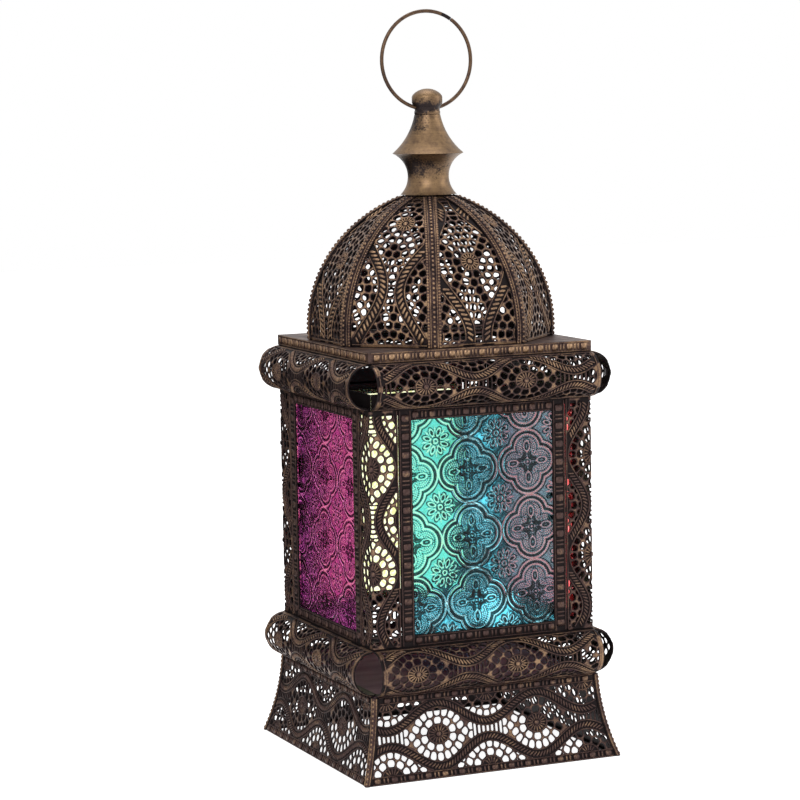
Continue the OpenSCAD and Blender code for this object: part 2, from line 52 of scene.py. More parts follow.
# Sizes are in mm; a mesh is in metres. Like pieces are made on the back and turned into place.
BACK, LEFT, FRONT, RIGHT = 0, 90, 180, 270
SIDES = {"back": BACK, "left": LEFT, "front": FRONT, "right": RIGHT}
WIRE, BAR, BEAD = 0, 1, 2
sheet_thick = 0.8
stamp_deep = 0.3  # hollows lie this far below the openwork
stand_fade = 0.8  # and the sheet slopes down to them over this far
rim_inset = 0.3  # raised rims run this far inside the edge of what they border


def linear(hex_colour):
    """An sRGB hex colour as the linear colour that a shader takes."""
    parts = [int(hex_colour[i:i + 2], 16) / 255 for i in (1, 3, 5)]
    return tuple(c / 12.92 if c <= 0.04045 else ((c + 0.055) / 1.055) ** 2.4
                 for c in parts) + (1.0,)


def feed(node, inputs):
    """Gives each named or numbered input a value, or the socket that feeds it."""
    for name, value in inputs.items():
        if isinstance(value, bpy.types.NodeSocket):
            node.id_data.links.new(value, node.inputs[name])
        else:
            node.inputs[name].default_value = value


def add_node(tree, kind, inputs=None, out=0, **settings):
    """One node with its settings and inputs; returns one output, or the node if out is None. A
    Map Range takes 1 to 2 and gives 3 to 4; a Mix goes by 0 from colour 6 to colour 7."""
    node = tree.nodes.new(kind)
    for name, value in settings.items():
        setattr(node, name, value)
    feed(node, inputs or {})
    return node if out is None else node.outputs[out]


def new_material(name):
    material = bpy.data.materials.new(name)
    material.use_nodes = True
    return material, material.node_tree


def three_tones(tree, level, low, high, tones):
    """Goes from the first tone to the second as level passes the range low, and on to the third
    as it passes the range high."""
    shares = [add_node(tree, "ShaderNodeMapRange", {"Value": level, 1: start, 2: end},
                       interpolation_type="SMOOTHSTEP") for start, end in (low, high)]
    colour = linear(tones[0])
    for share, tone in zip(shares, tones[1:]):
        colour = add_node(tree, "ShaderNodeMix", {0: share, 6: colour, 7: linear(tone)},
                          out=2, data_type="RGBA")
    return colour


def aged_bronze(name, hollow, web, crest, wear_and_shade=None):
    """Iron sheet in antique bronze. The attribute rub says how much a point stands up, lowered in
    places as painted shade; worn takes its place on plain pieces, which have no such attribute."""
    material, tree = new_material(name)
    where = add_node(tree, "ShaderNodeTexCoord", out="Object")
    # Cloudy wear of a hand-rubbed finish, in patches about 9 mm across
    cloud = add_node(tree, "ShaderNodeTexNoise",
                     {"Vector": where, "Scale": 110.0, "Detail": 4.0, "Roughness": 0.6})
    # Specks of the finish, 0.7 mm, drawn coarser than the real 0.2 mm so that they show
    speck = add_node(tree, "ShaderNodeTexNoise", {"Vector": where, "Scale": 1400.0, "Detail": 2.0})
    if wear_and_shade is None:
        high = add_node(tree, "ShaderNodeAttribute", out="Fac", attribute_name="rub_and_shade")
    else:
        high = add_node(tree, "ShaderNodeMapRange",
                        {"Value": cloud, 1: 0.35, 2: 0.65, 3: wear_and_shade - 0.15, 4: wear_and_shade + 0.15})
    patchy = add_node(tree, "ShaderNodeMapRange", {"Value": cloud, 1: 0.3, 2: 0.7, 3: -0.2, 4: 0.2})
    specked = add_node(tree, "ShaderNodeMapRange",
                       {"Value": speck, 1: 0.3, 2: 0.7, 3: -0.12, 4: 0.12})
    level = add_node(tree, "ShaderNodeMath", {0: high, 1: patchy}, operation="ADD")
    level = add_node(tree, "ShaderNodeMath", {0: level, 1: specked}, operation="ADD")
    colour = three_tones(tree, level, (0.05, 0.6), (0.55, 1.05), (hollow, web, crest))
    # Rubbing smooths what stands up
    rough = add_node(tree, "ShaderNodeMapRange", {"Value": level, 1: 0.0, 2: 1.0, 3: 0.62, 4: 0.4})
    bump = add_node(tree, "ShaderNodeBump", {"Height": speck, "Strength": 0.35, "Distance": 0.0002})
    feed(tree.nodes["Principled BSDF"],
         {"Base Color": colour, "Roughness": rough, "Normal": bump, "Metallic": 0.8})
    return material


# Matt near-black hollows, brown webs and gold-brown crests
stamped_bronze = aged_bronze("stamped iron sheet in antique bronze",
                             "#191213", "#463431", "#93765a")


def oval_ring(count, along, across, turn=0.0, push=0.0):
    """Middles of the cells on one oval ring round a rosette. push moves the two tips outwards."""
    turns = np.radians(360 / count * (np.arange(count) + turn))
    cells = np.stack([along * np.cos(turns), across * np.sin(turns)], 1)
    tips = np.abs(cells[:, 1]) < 0.01
    cells[tips, 0] += np.sign(cells[tips, 0]) * push
    return cells


def inside_cell(x, y, cells, reach, web):
    """How far a point lies inside its rounded cell; below zero on the web between the cells."""
    soft_wall, soft_rim = 0.22, 0.2  # how much the cell's corners are rounded
    no_wall, wall_cap, rim_floor = 99, 10, -30  # these keep exp within its range
    flat = np.stack([x.ravel(), y.ravel()], 1)
    square = ((flat[:, None, :] - cells[None]) ** 2).sum(2)
    near = square.argmin(1)
    rows = np.arange(len(flat))
    apart = np.linalg.norm(cells[:, None] - cells[None], axis=2)[near]
    apart[rows, near] = 1
    walls = (square - square[rows, near][:, None]) / (2 * apart)
    walls[rows, near] = no_wall
    walls = np.minimum(walls, wall_cap)
    wall = -soft_wall * np.log(np.exp(-walls / soft_wall).sum(1)) - web / 2
    rim = np.maximum(reach - np.sqrt(square[rows, near]), rim_floor)
    both = -soft_rim * np.log(np.exp(-wall / soft_rim) + np.exp(-rim / soft_rim))
    return both.reshape(x.shape)


def stamped_pattern(u, v, stamp):
    """Depth inside the nearest hole, and 1 on openwork or 0 in hollows, at u along and v across a
    band. Two ropes sway along it, and rosettes stand between and beside them."""
    rosette_web = 0.35  # half of the web round a rosette
    slot_zone, slot_pitch, slot_half = 8.6, 2.5, 0.8
    half = stamp["pitch"] / 2
    x = np.abs((u + half) % stamp["pitch"] - half)
    y = np.abs(v)
    turn = math.pi * x / half
    slope = stamp["sway"] * math.pi / half * np.sin(turn)
    off = (y - stamp["mid"] - stamp["sway"] * np.cos(turn)) / np.sqrt(1 + slope ** 2)
    oval = stamp["oval"]
    size = (oval[0] + oval[1]) / 2
    disc = (np.hypot(x / oval[0], y / oval[1]) - 1) * size
    edge_disc = (np.hypot((half - x) / oval[0], (stamp["edge"] - y) / oval[1]) - 1) * size
    middle = inside_cell(x, y, stamp["cells"], stamp["reach"], stamp["web"])
    if stamp["slots"]:
        # Seven slots side by side cross each waist between the ropes
        start = half - slot_zone
        slot = slot_half - np.abs((half - x + slot_pitch / 2) % slot_pitch - slot_pitch / 2)
        middle = np.where(x > start, slot, np.minimum(middle, start - rosette_web - x))
    outer = inside_cell(half - x, stamp["edge"] - y, stamp["edge_cells"], stamp["reach"],
                        stamp["web"])
    middle = np.minimum(middle, disc - rosette_web)
    outer = np.minimum(outer, edge_disc - rosette_web)
    hole = np.where(off < 0, np.minimum(middle, -off - stamp["rope"]),
                    np.minimum(outer, off - stamp["rope"]))
    stand = np.minimum(np.minimum(np.abs(off) - stamp["rope"], disc), edge_disc)
    return hole, np.clip(0.5 + stand / stand_fade, 0, 1)


# pitch is one wave of the ropes, mid and sway place them, and rope is half of one's width. edge is
# where the outer rosettes stand, oval a rosette's half size, and reach the largest cell's radius.
wall_stamp = {"pitch": 57.0, "mid": 10.1, "sway": 6.1, "rope": 2.6, "edge": 19.0,
              "oval": (6.2, 5.1), "reach": 2.2, "web": 0.7, "slots": True, "bar_step": 1.85,
              "petal_depth": 0.42}
wall_rings = [oval_ring(10, 8.5, 7.05, 0.5), oval_ring(20, 13.2, 11.3, 0, 2.2)]
wall_stamp["cells"] = np.concatenate([*wall_rings, [[18.9, 2], [18.9, -2]]])
wall_stamp["edge_cells"] = np.concatenate([*wall_rings, oval_ring(26, 17.6, 15.6, 0.5)])


def stamped_sheet(name, span, field, place, step=0.6, wear_and_shade=1.0):
    """A closed sheet wherever field finds metal on the flat span. place takes flat points onto
    the bent sheet; rub is high on the openwork and low in hollows and behind, and falls towards
    each hole's edge and wall as painted shade. A worn below 1 darkens the whole sheet, as painted
    shade."""
    hole_shade, behind_rub = 0.42, 0.08
    u_line = np.arange(span[0] - step, span[1] + 1.5 * step, step)
    v_line = np.arange(span[2] - step, span[3] + 1.5 * step, step)
    u, v = np.meshgrid(u_line, v_line, indexing="ij")
    metal, stand = field(u, v)
    metal = np.where(np.abs(metal) < 1e-3, 1e-3, metal)
    # Points of the grid that are metal, then the edge's crossings of the grid's lines
    solid = metal > 0
    corner = np.full(u.shape, -1)
    corner[solid] = np.arange(solid.sum())
    across_u = solid[:-1] != solid[1:]
    across_v = solid[:, :-1] != solid[:, 1:]
    edge_u = np.full(across_u.shape, -1)
    edge_u[across_u] = solid.sum() + np.arange(across_u.sum())
    edge_v = np.full(across_v.shape, -1)
    edge_v[across_v] = solid.sum() + across_u.sum() + np.arange(across_v.sum())
    part_u = (metal[:-1] / (metal[:-1] - metal[1:] + 1e-12))[across_u]
    part_v = (metal[:, :-1] / (metal[:, :-1] - metal[:, 1:] + 1e-12))[across_v]
    flat_u = np.concatenate([u[solid], u[:-1][across_u] + part_u * step, u[:, :-1][across_v]])
    flat_v = np.concatenate([v[solid], v[:-1][across_u], v[:, :-1][across_v] + part_v * step])
    height = np.concatenate([stand[solid], stand[:-1][across_u], stand[:, :-1][across_v]])
    inner = np.concatenate([metal[solid], np.zeros(across_u.sum() + across_v.sum())])
    count = len(flat_u)
    # One face for the metal part of each cell, and a wall where the edge crosses the cell
    code = solid[:-1, :-1] + 2 * solid[1:, :-1] + 4 * solid[1:, 1:] + 8 * solid[:-1, 1:]
    corners = [corner[:-1, :-1], corner[1:, :-1], corner[1:, 1:], corner[:-1, 1:]]
    edges = [edge_u[:, :-1], edge_v[1:, :], edge_u[:, 1:], edge_v[:-1, :]]
    faces, walls = [], []
    for case in range(1, 16):
        mask = code == case
        if not mask.any():
            continue
        filled = [bool(case >> k & 1) for k in range(4)]
        ring, crossings = [], []
        for k in range(4):
            if filled[k]:
                ring.append(corners[k][mask])
            if filled[k] != filled[(k + 1) % 4]:
                ring.append(edges[k][mask])
                crossings.append((edges[k][mask], filled[k]))
        faces += np.stack(ring, 1).tolist()
        for k, (leaving, out) in enumerate(crossings):
            if out:
                back_in = crossings[(k + 1) % len(crossings)][0]
                walls += np.stack([back_in, leaving, leaving + count, back_in + count],
                                  1).tolist()
    faces += [[i + count for i in reversed(face)] for face in faces]
    front = place(flat_u, flat_v, stamp_deep * (1 - height))
    behind = place(flat_u, flat_v, np.full(count, sheet_thick))
    # The ring of a cell turns from u to v; it is reversed where that faces inwards
    mid_u, mid_v = np.array([(span[0] + span[1]) / 2]), np.array([(span[2] + span[3]) / 2])
    at = place(mid_u, mid_v, np.zeros(1))[0]
    along_u = place(mid_u + 0.1, mid_v, np.zeros(1))[0] - at
    along_v = place(mid_u, mid_v + 0.1, np.zeros(1))[0] - at
    outwards = at - place(mid_u, mid_v, np.full(1, 0.1))[0]
    faces += walls
    if np.dot(np.cross(along_u, along_v), outwards) < 0:
        faces = [face[::-1] for face in faces]
    mesh = bpy.data.meshes.new(name)
    mesh.from_pydata((np.concatenate([front, behind]) / 1000).tolist(), [], faces)
    mesh.shade_smooth()
    # Within hole_shade of a hole the colour falls off towards the hollows' dark: painted shade that
    # makes the webs look round. A wear factor below 1 darkens the whole sheet, also as painted
    # shade.
    crest = wear_and_shade * height * (0.2 + 0.72 * np.clip(inner / hole_shade, 0, 1))
    rub_and_shade = np.concatenate([crest, np.full(count, behind_rub)]).astype(np.float32)
    mesh.attributes.new("rub_and_shade", "FLOAT", "POINT").data.foreach_set("value", rub_and_shade)
    mesh.materials.append(stamped_bronze)
    return mesh


def raised_tree():
    """Node tree that turns points and wires into raised rims, bars and beads on a sheet."""
    tree = bpy.data.node_groups.new("raised work", "GeometryNodeTree")
    for in_out in ("INPUT", "OUTPUT"):
        tree.interface.new_socket("Geometry", in_out=in_out, socket_type="NodeSocketGeometry")
    rim, finish = (tree.interface.new_socket(name, in_out="INPUT", socket_type=kind)
                   for name, kind in (("Rim radius", "NodeSocketFloat"),
                                      ("Finish", "NodeSocketMaterial")))
    start = add_node(tree, "NodeGroupInput", out=None)
    kind = add_node(tree, "GeometryNodeInputNamedAttribute", {"Name": "kind"}, data_type="INT")
    parts = []
    for number in (WIRE, BAR, BEAD):
        chosen = add_node(tree, "FunctionNodeCompare", {2: kind, 3: number},
                          data_type="INT", operation="EQUAL")
        parts.append(add_node(tree, "GeometryNodeSeparateGeometry",
                              {"Geometry": start.outputs["Geometry"], "Selection": chosen},
                              domain="POINT"))
    wire = add_node(tree, "GeometryNodeMeshToCurve", {"Mesh": parts[WIRE]})
    section = add_node(tree, "GeometryNodeCurvePrimitiveCircle",
                       {"Resolution": 6, "Radius": start.outputs["Rim radius"]}, mode="RADIUS")
    swept = add_node(tree, "GeometryNodeCurveToMesh",
                     {"Curve": wire, "Profile Curve": section, "Fill Caps": True})
    swept = add_node(tree, "GeometryNodeStoreNamedAttribute",
                     {"Geometry": swept, "Name": "rub_and_shade", "Value": 0.78},
                     data_type="FLOAT", domain="POINT")
    cube = add_node(tree, "GeometryNodeMeshCube", {"Size": (1.0, 1.0, 1.0)})
    bar = add_node(tree, "GeometryNodeSubdivisionSurface",
                   {"Mesh": cube, "Level": 1, "Edge Crease": 0.5})
    bead = add_node(tree, "GeometryNodeMeshUVSphere", {"Segments": 8, "Rings": 4, "Radius": 0.5})
    out, along, size = (add_node(tree, "GeometryNodeInputNamedAttribute", {"Name": name},
                                 data_type="FLOAT_VECTOR") for name in ("out", "along", "size"))
    facing = add_node(tree, "FunctionNodeAxesToRotation",
                      {"Primary Axis": out, "Secondary Axis": along},
                      primary_axis="Z", secondary_axis="X")
    raised = [swept]
    for shape, points in ((bar, parts[BAR]), (bead, parts[BEAD])):
        # The tops of bars and beads are rubbed brightest
        spot = add_node(tree, "GeometryNodeInputPosition")
        high = add_node(tree, "ShaderNodeSeparateXYZ", {0: spot}, out=2)
        high = add_node(tree, "ShaderNodeMapRange",
                        {"Value": high, 1: 0.0, 2: 0.5, 3: 0.3, 4: 0.95})
        shape = add_node(tree, "GeometryNodeStoreNamedAttribute",
                         {"Geometry": shape, "Name": "rub_and_shade", "Value": high},
                         data_type="FLOAT", domain="POINT")
        raised.append(add_node(tree, "GeometryNodeInstanceOnPoints",
                               {"Points": points, "Instance": shape, "Rotation": facing,
                                "Scale": size}))
    join = add_node(tree, "GeometryNodeJoinGeometry", out=None)
    for part in raised:
        tree.links.new(part, join.inputs[0])
    real = add_node(tree, "GeometryNodeRealizeInstances", {"Geometry": join.outputs[0]})
    smooth = add_node(tree, "GeometryNodeSetShadeSmooth", {"Geometry": real})
    coated = add_node(tree, "GeometryNodeSetMaterial",
                      {"Geometry": smooth, "Material": start.outputs["Finish"]})
    add_node(tree, "NodeGroupOutput", {"Geometry": coated}, out=None)
    return tree, rim.identifier, finish.identifier


raised_work_tree, rim_input, finish_input = raised_tree()


class RaisedWork:
    """Rims, bars and beads to be raised on one bent sheet, given where they lie on the flat."""

    def __init__(self, place):
        self.place = place
        self.rows = {"at": [], "along": [], "out": [], "size": [], "kind": []}
        self.wires = []
        self.count = 0

    def put(self, kind, u, v, angle, size, depth=0.15):
        """Points of one kind, turned by angle on the sheet, with their size along, across, up."""
        nudge = 0.05
        u, v, angle = np.broadcast_arrays(np.atleast_1d(np.asarray(u, float)), v, angle)
        deep = np.full(u.shape, float(depth))
        at = self.place(u, v, deep)
        along = self.place(u + nudge * np.cos(angle), v + nudge * np.sin(angle), deep) - at
        for key, value in (("at", at), ("along", along),
                           ("out", self.place(u, v, deep - nudge) - at),
                           ("size", np.broadcast_to(np.asarray(size, float), (len(u), 3))),
                           ("kind", np.full(len(u), kind))):
            self.rows[key].append(value)
        self.count += len(u)

    def wire(self, u, v, keep=None, depth=0.1, closed=False):
        """One rim along the points; it breaks off wherever keep is false."""
        u, v = np.broadcast_arrays(np.asarray(u, float), np.asarray(v, float))
        keep = np.ones(len(u), bool) if keep is None else keep
        first = self.count
        self.put(WIRE, u, v, 0.0, (1, 1, 1), depth)
        pairs = np.stack([np.arange(len(u) - 1), np.arange(1, len(u))], 1)
        if closed:
            pairs = np.concatenate([pairs, [[len(u) - 1, 0]]])
        self.wires.append(first + pairs[keep[pairs].all(1)])

    def bake(self, name, rim_radius=0.33, wear_and_shade=1.0):
        """The node tree's result as one plain mesh. A worn below 1 darkens it all over, as painted
        shade.
        """
        rows = {key: np.concatenate(value) for key, value in self.rows.items()}
        rows["size"] = rows["size"] / 1000
        wires = np.concatenate(self.wires).tolist() if self.wires else []
        mesh = bpy.data.meshes.new(name)
        mesh.from_pydata((rows["at"] / 1000).tolist(), wires, [])
        for key in ("along", "out", "size"):
            arrows = mesh.attributes.new(key, "FLOAT_VECTOR", "POINT")
            arrows.data.foreach_set("vector", rows[key].astype(np.float32).ravel())
        kinds = mesh.attributes.new("kind", "INT", "POINT")
        kinds.data.foreach_set("value", rows["kind"].astype(np.int32))
        piece = bpy.data.objects.new(name, mesh)
        bpy.context.scene.collection.objects.link(piece)
        work = piece.modifiers.new("raised work", "NODES")
        work.node_group = raised_work_tree
        work[rim_input] = rim_radius / 1000
        work[finish_input] = stamped_bronze
        ready = piece.evaluated_get(bpy.context.evaluated_depsgraph_get())
        baked = bpy.data.meshes.new_from_object(ready)
        bpy.data.objects.remove(piece)
        bpy.data.meshes.remove(mesh)
        baked.name = name
        rub_and_shade = np.zeros(len(baked.vertices), np.float32)
        baked.attributes["rub_and_shade"].data.foreach_get("value", rub_and_shade)
        baked.attributes["rub_and_shade"].data.foreach_set("value", rub_and_shade * wear_and_shade)
        return baked


def rope_work(work, stamp, span, phase, room):
    """Both ropes of a band, two rims each with slanted bars between, and the rosettes' petals,
    beads and rims. room says how far inside the sheet's open area a flat point lies."""
    slant = math.radians(52)
    petals, rim_points = 16, 24
    rim_room, bar_room, petal_room, bead_room = 0.3, 1.3, 1.4, 1.8
    pitch, half = stamp["pitch"], stamp["pitch"] / 2
    long, tall = stamp["oval"]
    fine = np.arange(span[0], span[1], 0.25)
    for side in (1, -1):
        turn = 2 * math.pi * (fine - phase) / pitch
        v = side * (stamp["mid"] + stamp["sway"] * np.cos(turn))
        slope = -side * stamp["sway"] * 2 * math.pi / pitch * np.sin(turn)
        lean = np.arctan(slope)
        for off in (-1, 1):
            u_rim = (fine - off * (stamp["rope"] - rim_inset) * np.sin(lean))[::5]
            v_rim = (v + off * (stamp["rope"] - rim_inset) * np.cos(lean))[::5]
            work.wire(u_rim, v_rim, room(u_rim, v_rim) > rim_room)
        length = np.concatenate([[0], np.cumsum(np.hypot(np.diff(fine), np.diff(v)))])
        marks = np.arange(1, length[-1], stamp["bar_step"])
        u_bar, v_bar = np.interp(marks, length, fine), np.interp(marks, length, v)
        angle = np.interp(marks, length, lean) + side * slant
        inside = room(u_bar, v_bar) > bar_room
        work.put(BAR, u_bar[inside], v_bar[inside], angle[inside],
                 (2 * stamp["rope"] - 1.6, 0.5 * stamp["bar_step"], 1.0), 0.2)
    first = math.floor((span[0] - phase) / half) - 1
    for number in range(first, first + int((span[1] - span[0]) / half) + 4):
        for centre_v in ([0] if number % 2 == 0 else [-stamp["edge"], stamp["edge"]]):
            centre_u = phase + number * half
            turns = np.radians(360 / petals * np.arange(petals))
            reach = (long + 1.8) / 2
            u_leaf = centre_u + reach * np.cos(turns)
            v_leaf = centre_v + reach * tall / long * np.sin(turns)
            inside = room(u_leaf, v_leaf) > petal_room
            if inside.any():
                work.put(BAR, u_leaf[inside], v_leaf[inside], turns[inside],
                         (long - 1.9, 0.75, 0.8), stamp["petal_depth"])
            if room(np.array([centre_u]), np.array([centre_v]))[0] > bead_room:
                work.put(BEAD, centre_u, centre_v, 0.0, (3.3, 3.3, 1.5), 0.3)
            turns = np.radians(360 / rim_points * np.arange(rim_points))
            u_rim = centre_u + (long - rim_inset) * np.cos(turns)
            v_rim = centre_v + (tall - rim_inset) * np.sin(turns)
            work.wire(u_rim, v_rim, room(u_rim, v_rim) > rim_room, closed=True)


def boss_row(work, start, end, width, reach, depth=0.1, pitch=9.6):
    """A straight row of square bosses with two bars between neighbours, from start to end, and a
    rim at reach on each side."""
    boss_long, bar_long, end_gap = 3.9, 1.05, 0.8
    start, end = np.array(start, float), np.array(end, float)
    length = np.linalg.norm(end - start)
    run = (end - start) / length
    angle = math.atan2(run[1], run[0])
    count = int(length / 2 / pitch)
    mid = (start + end) / 2
    for number in range(-count, count + 1):
        spot = mid + run * number * pitch
        work.put(BAR, spot[0], spot[1], angle, (boss_long, width, 1.6), depth)
    for number in range(-count - 1, count + 1):
        for part in (0.39, 0.61):
            distance = (number + part) * pitch
            if abs(distance) < length / 2 - end_gap:
                spot = mid + run * distance
                work.put(BAR, spot[0], spot[1], angle, (bar_long, width, 0.9), depth)
    across = np.array([-run[1], run[0]])
    for side in (-reach, reach):
        steps = np.linspace(0, 1, max(3, int(length / 6)))[:, None]
        line = start + steps * (end - start) + side * across
        work.wire(line[:, 0], line[:, 1], depth=depth)


def closed_mesh(shape, name, finish):
    """The mesh of a closed bmesh, with its faces turned outwards."""
    bmesh.ops.recalc_face_normals(shape, faces=shape.faces)
    mesh = bpy.data.meshes.new(name)
    shape.to_mesh(mesh)
    shape.free()
    mesh.materials.append(finish)
    return mesh


def turned_piece(mesh, name, turn, body, slot, *nodes):
    """A piece of its own from a copy of mesh, turned round the lantern's middle axis."""
    piece = bpy.data.objects.new(name, mesh.copy())
    piece.data.transform(Matrix.Rotation(math.radians(turn), 4, "Z"))
    bpy.context.scene.collection.objects.link(piece)
    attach(piece, body)
    if nodes:
        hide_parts(*nodes)


def node_box(node):
    """A solid's lowest and highest corners in mm, to the nearest hundredth."""
    return np.round(np.array(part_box(node)) * 1000, 2)


skirt_high = node_box("skirt_back")[1, 2]
skirt_axis = (215.06, 51.01)  # y and z of the axis that a side is bent about
skirt_bend = 150.0
skirt_phase = 29.7  # a rosette's middle is this far from the side's middle
skirt_seam, skirt_border = 2.6, 18.2  # the openwork ends here, off the mitre and the middle line


def skirt_place(u, v, depth):
    z = skirt_high / 2 - v
    slant = np.arcsin((z - skirt_axis[1]) / skirt_bend)
    y = skirt_axis[0] - (skirt_bend + depth) * np.cos(slant)
    return np.stack([u + 0 * v, y, skirt_axis[1] + (skirt_bend + depth) * np.sin(slant)], 1)


def skirt_edge(u, v):
    """How far a flat point lies inside the mitre."""
    z = skirt_high / 2 - v
    return skirt_axis[0] - np.sqrt(skirt_bend ** 2 - (z - skirt_axis[1]) ** 2) - np.abs(u)


def skirt_room(u, v):
    return np.minimum(skirt_edge(u, v) - skirt_seam, skirt_border - np.abs(v))


def skirt_field(u, v):
    # The bent sheet's edges are square to it, so it stops short of the mitre and the floor
    mitre_gap, foot_gap = 0.9, 0.3
    hole, stand = stamped_pattern(u - skirt_phase, v, wall_stamp)
    room = skirt_room(u, v)
    hole = np.minimum(hole, room - rim_inset)
    outline = np.minimum(skirt_edge(u, v) - mitre_gap, skirt_high / 2 - foot_gap - np.abs(v))
    return np.minimum(-hole, outline), stand * np.clip(0.5 + room / stand_fade, 0, 1)


# The skirt's sheet and raised work are drawn darker than the same finish on the dome, as painted
# shade
skirt_sheet = stamped_sheet("skirt sheet", (-75, 75, -22.2, 22.2), skirt_field, skirt_place,
                            wear_and_shade=0.78)
skirt_work = RaisedWork(skirt_place)
rope_work(skirt_work, wall_stamp, (-72, 72), skirt_phase, skirt_room)
boss_row(skirt_work, (-62, -20.2), (62, -20.2), width=3.0, reach=1.7)
boss_row(skirt_work, (-70, 19.9), (70, 19.9), width=3.0, reach=1.65)
skirt_raised = skirt_work.bake("skirt raised work", wear_and_shade=0.72)

# The hem: a plain lip turned in under the foot of each side
hem_inner, hem_outer = 71.0, 73.3
hem = bmesh.new()
rings = [[hem.verts.new((s * (y - 0.3) / 1000, y / 1000, z / 1000)) for s in (-1, 1)]
         for y, z in ((hem_inner, 0.0), (hem_outer, 0.0), (hem_outer, sheet_thick),
                      (hem_inner, sheet_thick))]
for k in range(4):
    a, b = rings[k], rings[(k + 1) % 4]
    hem.faces.new([a[0], b[0], b[1], a[1]])
hem.faces.new([r[0] for r in rings])
hem.faces.new([r[1] for r in reversed(rings)])
hem_mesh = closed_mesh(hem, "skirt hem", stamped_bronze)

for side, turn in SIDES.items():
    node = f"skirt_{side}"
    for mesh, part in ((skirt_sheet, "sheet"), (skirt_raised, "ropes"), (hem_mesh, "hem")):
        turned_piece(mesh, f"{node}_{part}", turn, "lantern", "aged_bronze", node)


# Skirt corner strips
# Narrow strips of beaded sheet folded over the four mitres of the skirt and soldered on.
# The beads are pressed from behind before the strip is folded.

strip_half = 2.5
strip_rise, fold_flat, fold_back = 0.5, 0.5, 0.35  # off the sides, across the fold, off its edge
strip_corners = ("back_left", "front_left", "front_right", "back_right")


def corner_strip_place(u, v, depth):
    """u is the height and v the distance from the mitre, along each of the two sides."""
    slant = np.arcsin((u - skirt_axis[1]) / skirt_bend)
    reach = skirt_bend - strip_rise + depth
    y = skirt_axis[0] - reach * np.cos(slant)
    out = y * math.sqrt(2) - np.maximum(np.abs(v) - fold_flat, 0) * math.sqrt(0.5) - fold_back
    return np.stack([v * math.sqrt(0.5), out, skirt_axis[1] + reach * np.sin(slant)], 1)


def corner_strip_field(u, v):
    ends = np.minimum(u - 0.1, skirt_high - 0.1 - u)
    return np.minimum(ends, strip_half - np.abs(v)), 0.6 + 0 * u


strip_sheet = stamped_sheet("corner strip", (0, skirt_high, -2.6, 2.6), corner_strip_field,
                            corner_strip_place, 0.7)
strip_work = RaisedWork(corner_strip_place)
strip_work.put(BEAD, np.arange(1.6, 43.4, 2.4), 0.0, 0.0, (1.9, 1.6, 1.3), 0.25)
for side in (-1, 1):
    strip_work.wire(np.linspace(0.6, 43.9, 24), side * 1.9)
strip_raised = strip_work.bake("corner strip beads")
for number, corner in enumerate(strip_corners):
    for mesh, part in ((strip_sheet, ""), (strip_raised, "_beads")):
        turned_piece(mesh, f"skirt_corner_{corner}{part}", 45 + 90 * number, "lantern",
                     "aged_bronze", "skirt_corner_strips")


# Floor plate, candle cup and rivet
# A square of plain sheet lies between the skirt and the lower rolls and shows at the corners. A
# drawn cup riveted to its middle keeps a 38 mm tealight in place. Both have only the dull
# brown-grey undercoat.

def dull_coat(name, colour, dark, metallic, gloss):
    """Iron sheet with a thin dull coat: even colour, faint smears and fine grit."""
    material, tree = new_material(name)
    where = add_node(tree, "ShaderNodeTexCoord", out="Object")
    # Smears about 25 mm long, pulled out along X by the roller
    pulled = add_node(tree, "ShaderNodeMapping", {"Vector": where, "Scale": (0.35, 1.0, 1.0)})
    smear = add_node(tree, "ShaderNodeTexNoise", {"Vector": pulled, "Scale": 120.0, "Detail": 5.0})
    # Grit of the coat, 0.5 mm, drawn coarser than the real 0.1 mm
    grit = add_node(tree, "ShaderNodeTexNoise", {"Vector": where, "Scale": 2200.0, "Detail": 2.0})
    share = add_node(tree, "ShaderNodeMapRange", {"Value": smear, 1: 0.3, 2: 0.7})
    mixed = add_node(tree, "ShaderNodeMix", {0: share, 6: linear(dark), 7: linear(colour)},
                     out=2, data_type="RGBA")
    rough = add_node(tree, "ShaderNodeMapRange",
                     {"Value": smear, 1: 0.3, 2: 0.7, 3: 0.75, 4: 0.62})
    bump = add_node(tree, "ShaderNodeBump", {"Height": grit, "Strength": 0.15, "Distance": 0.0001})
    feed(tree.nodes["Principled BSDF"],
         {"Base Color": mixed, "Roughness": rough, "Normal": bump, "Metallic": metallic,
          "Specular IOR Level": gloss})
    return material


def finish_nodes(material, *nodes):
    """Gives solids that are shown as they are one material on all of their slots."""
    for node in nodes:
        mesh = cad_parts[node].data
        mesh.materials.clear()
        mesh.materials.append(material)


# A dull, faintly purple brown with next to no shine, and the soft grey shine of plated steel
undercoat = dull_coat("iron sheet in dull brown-grey coat", "#6c535d", "#5d4650", 0.0, 0.12)
zinc = dull_coat("zinc-plated steel rivet", "#a9a7a1", "#7d7a74", 0.8, 0.5)
finish_nodes(undercoat, "floor_plate", "candle_cup")
finish_nodes(zinc, "cup_rivet")


# Lower rolls
# Half-round rolls of the same stamped sheet run along each side between the skirt and the walls.
# Their ends stay open at the corners. A ledge and lip inside each edge is soldered to the sheets
# it meets.

lower_low, lower_high = node_box("lower_roll_back")
body_half = lower_high[0]  # half of the body's width, and where the rolls' middles lie
roll_radius = lower_high[1] - body_half
roll_sink = 0.45  # the sheet lies this far inside, so that what is raised stays within the roll
ledge_thick, ledge_long = 1.25, 124.76
ledge_y, lip_y, lip_top, wall_foot = (62.4, 64.2), (62.4, 63.2), 15.2, 3.75


def stamped_field(stamp, phase, room, outline):
    """The field of a sheet with the openwork where room allows, inside its outline."""
    def field(u, v):
        hole, stand = stamped_pattern(u - phase, v, stamp)
        return np.minimum(-np.minimum(hole, room(u, v)), outline(u, v)), stand
    return field


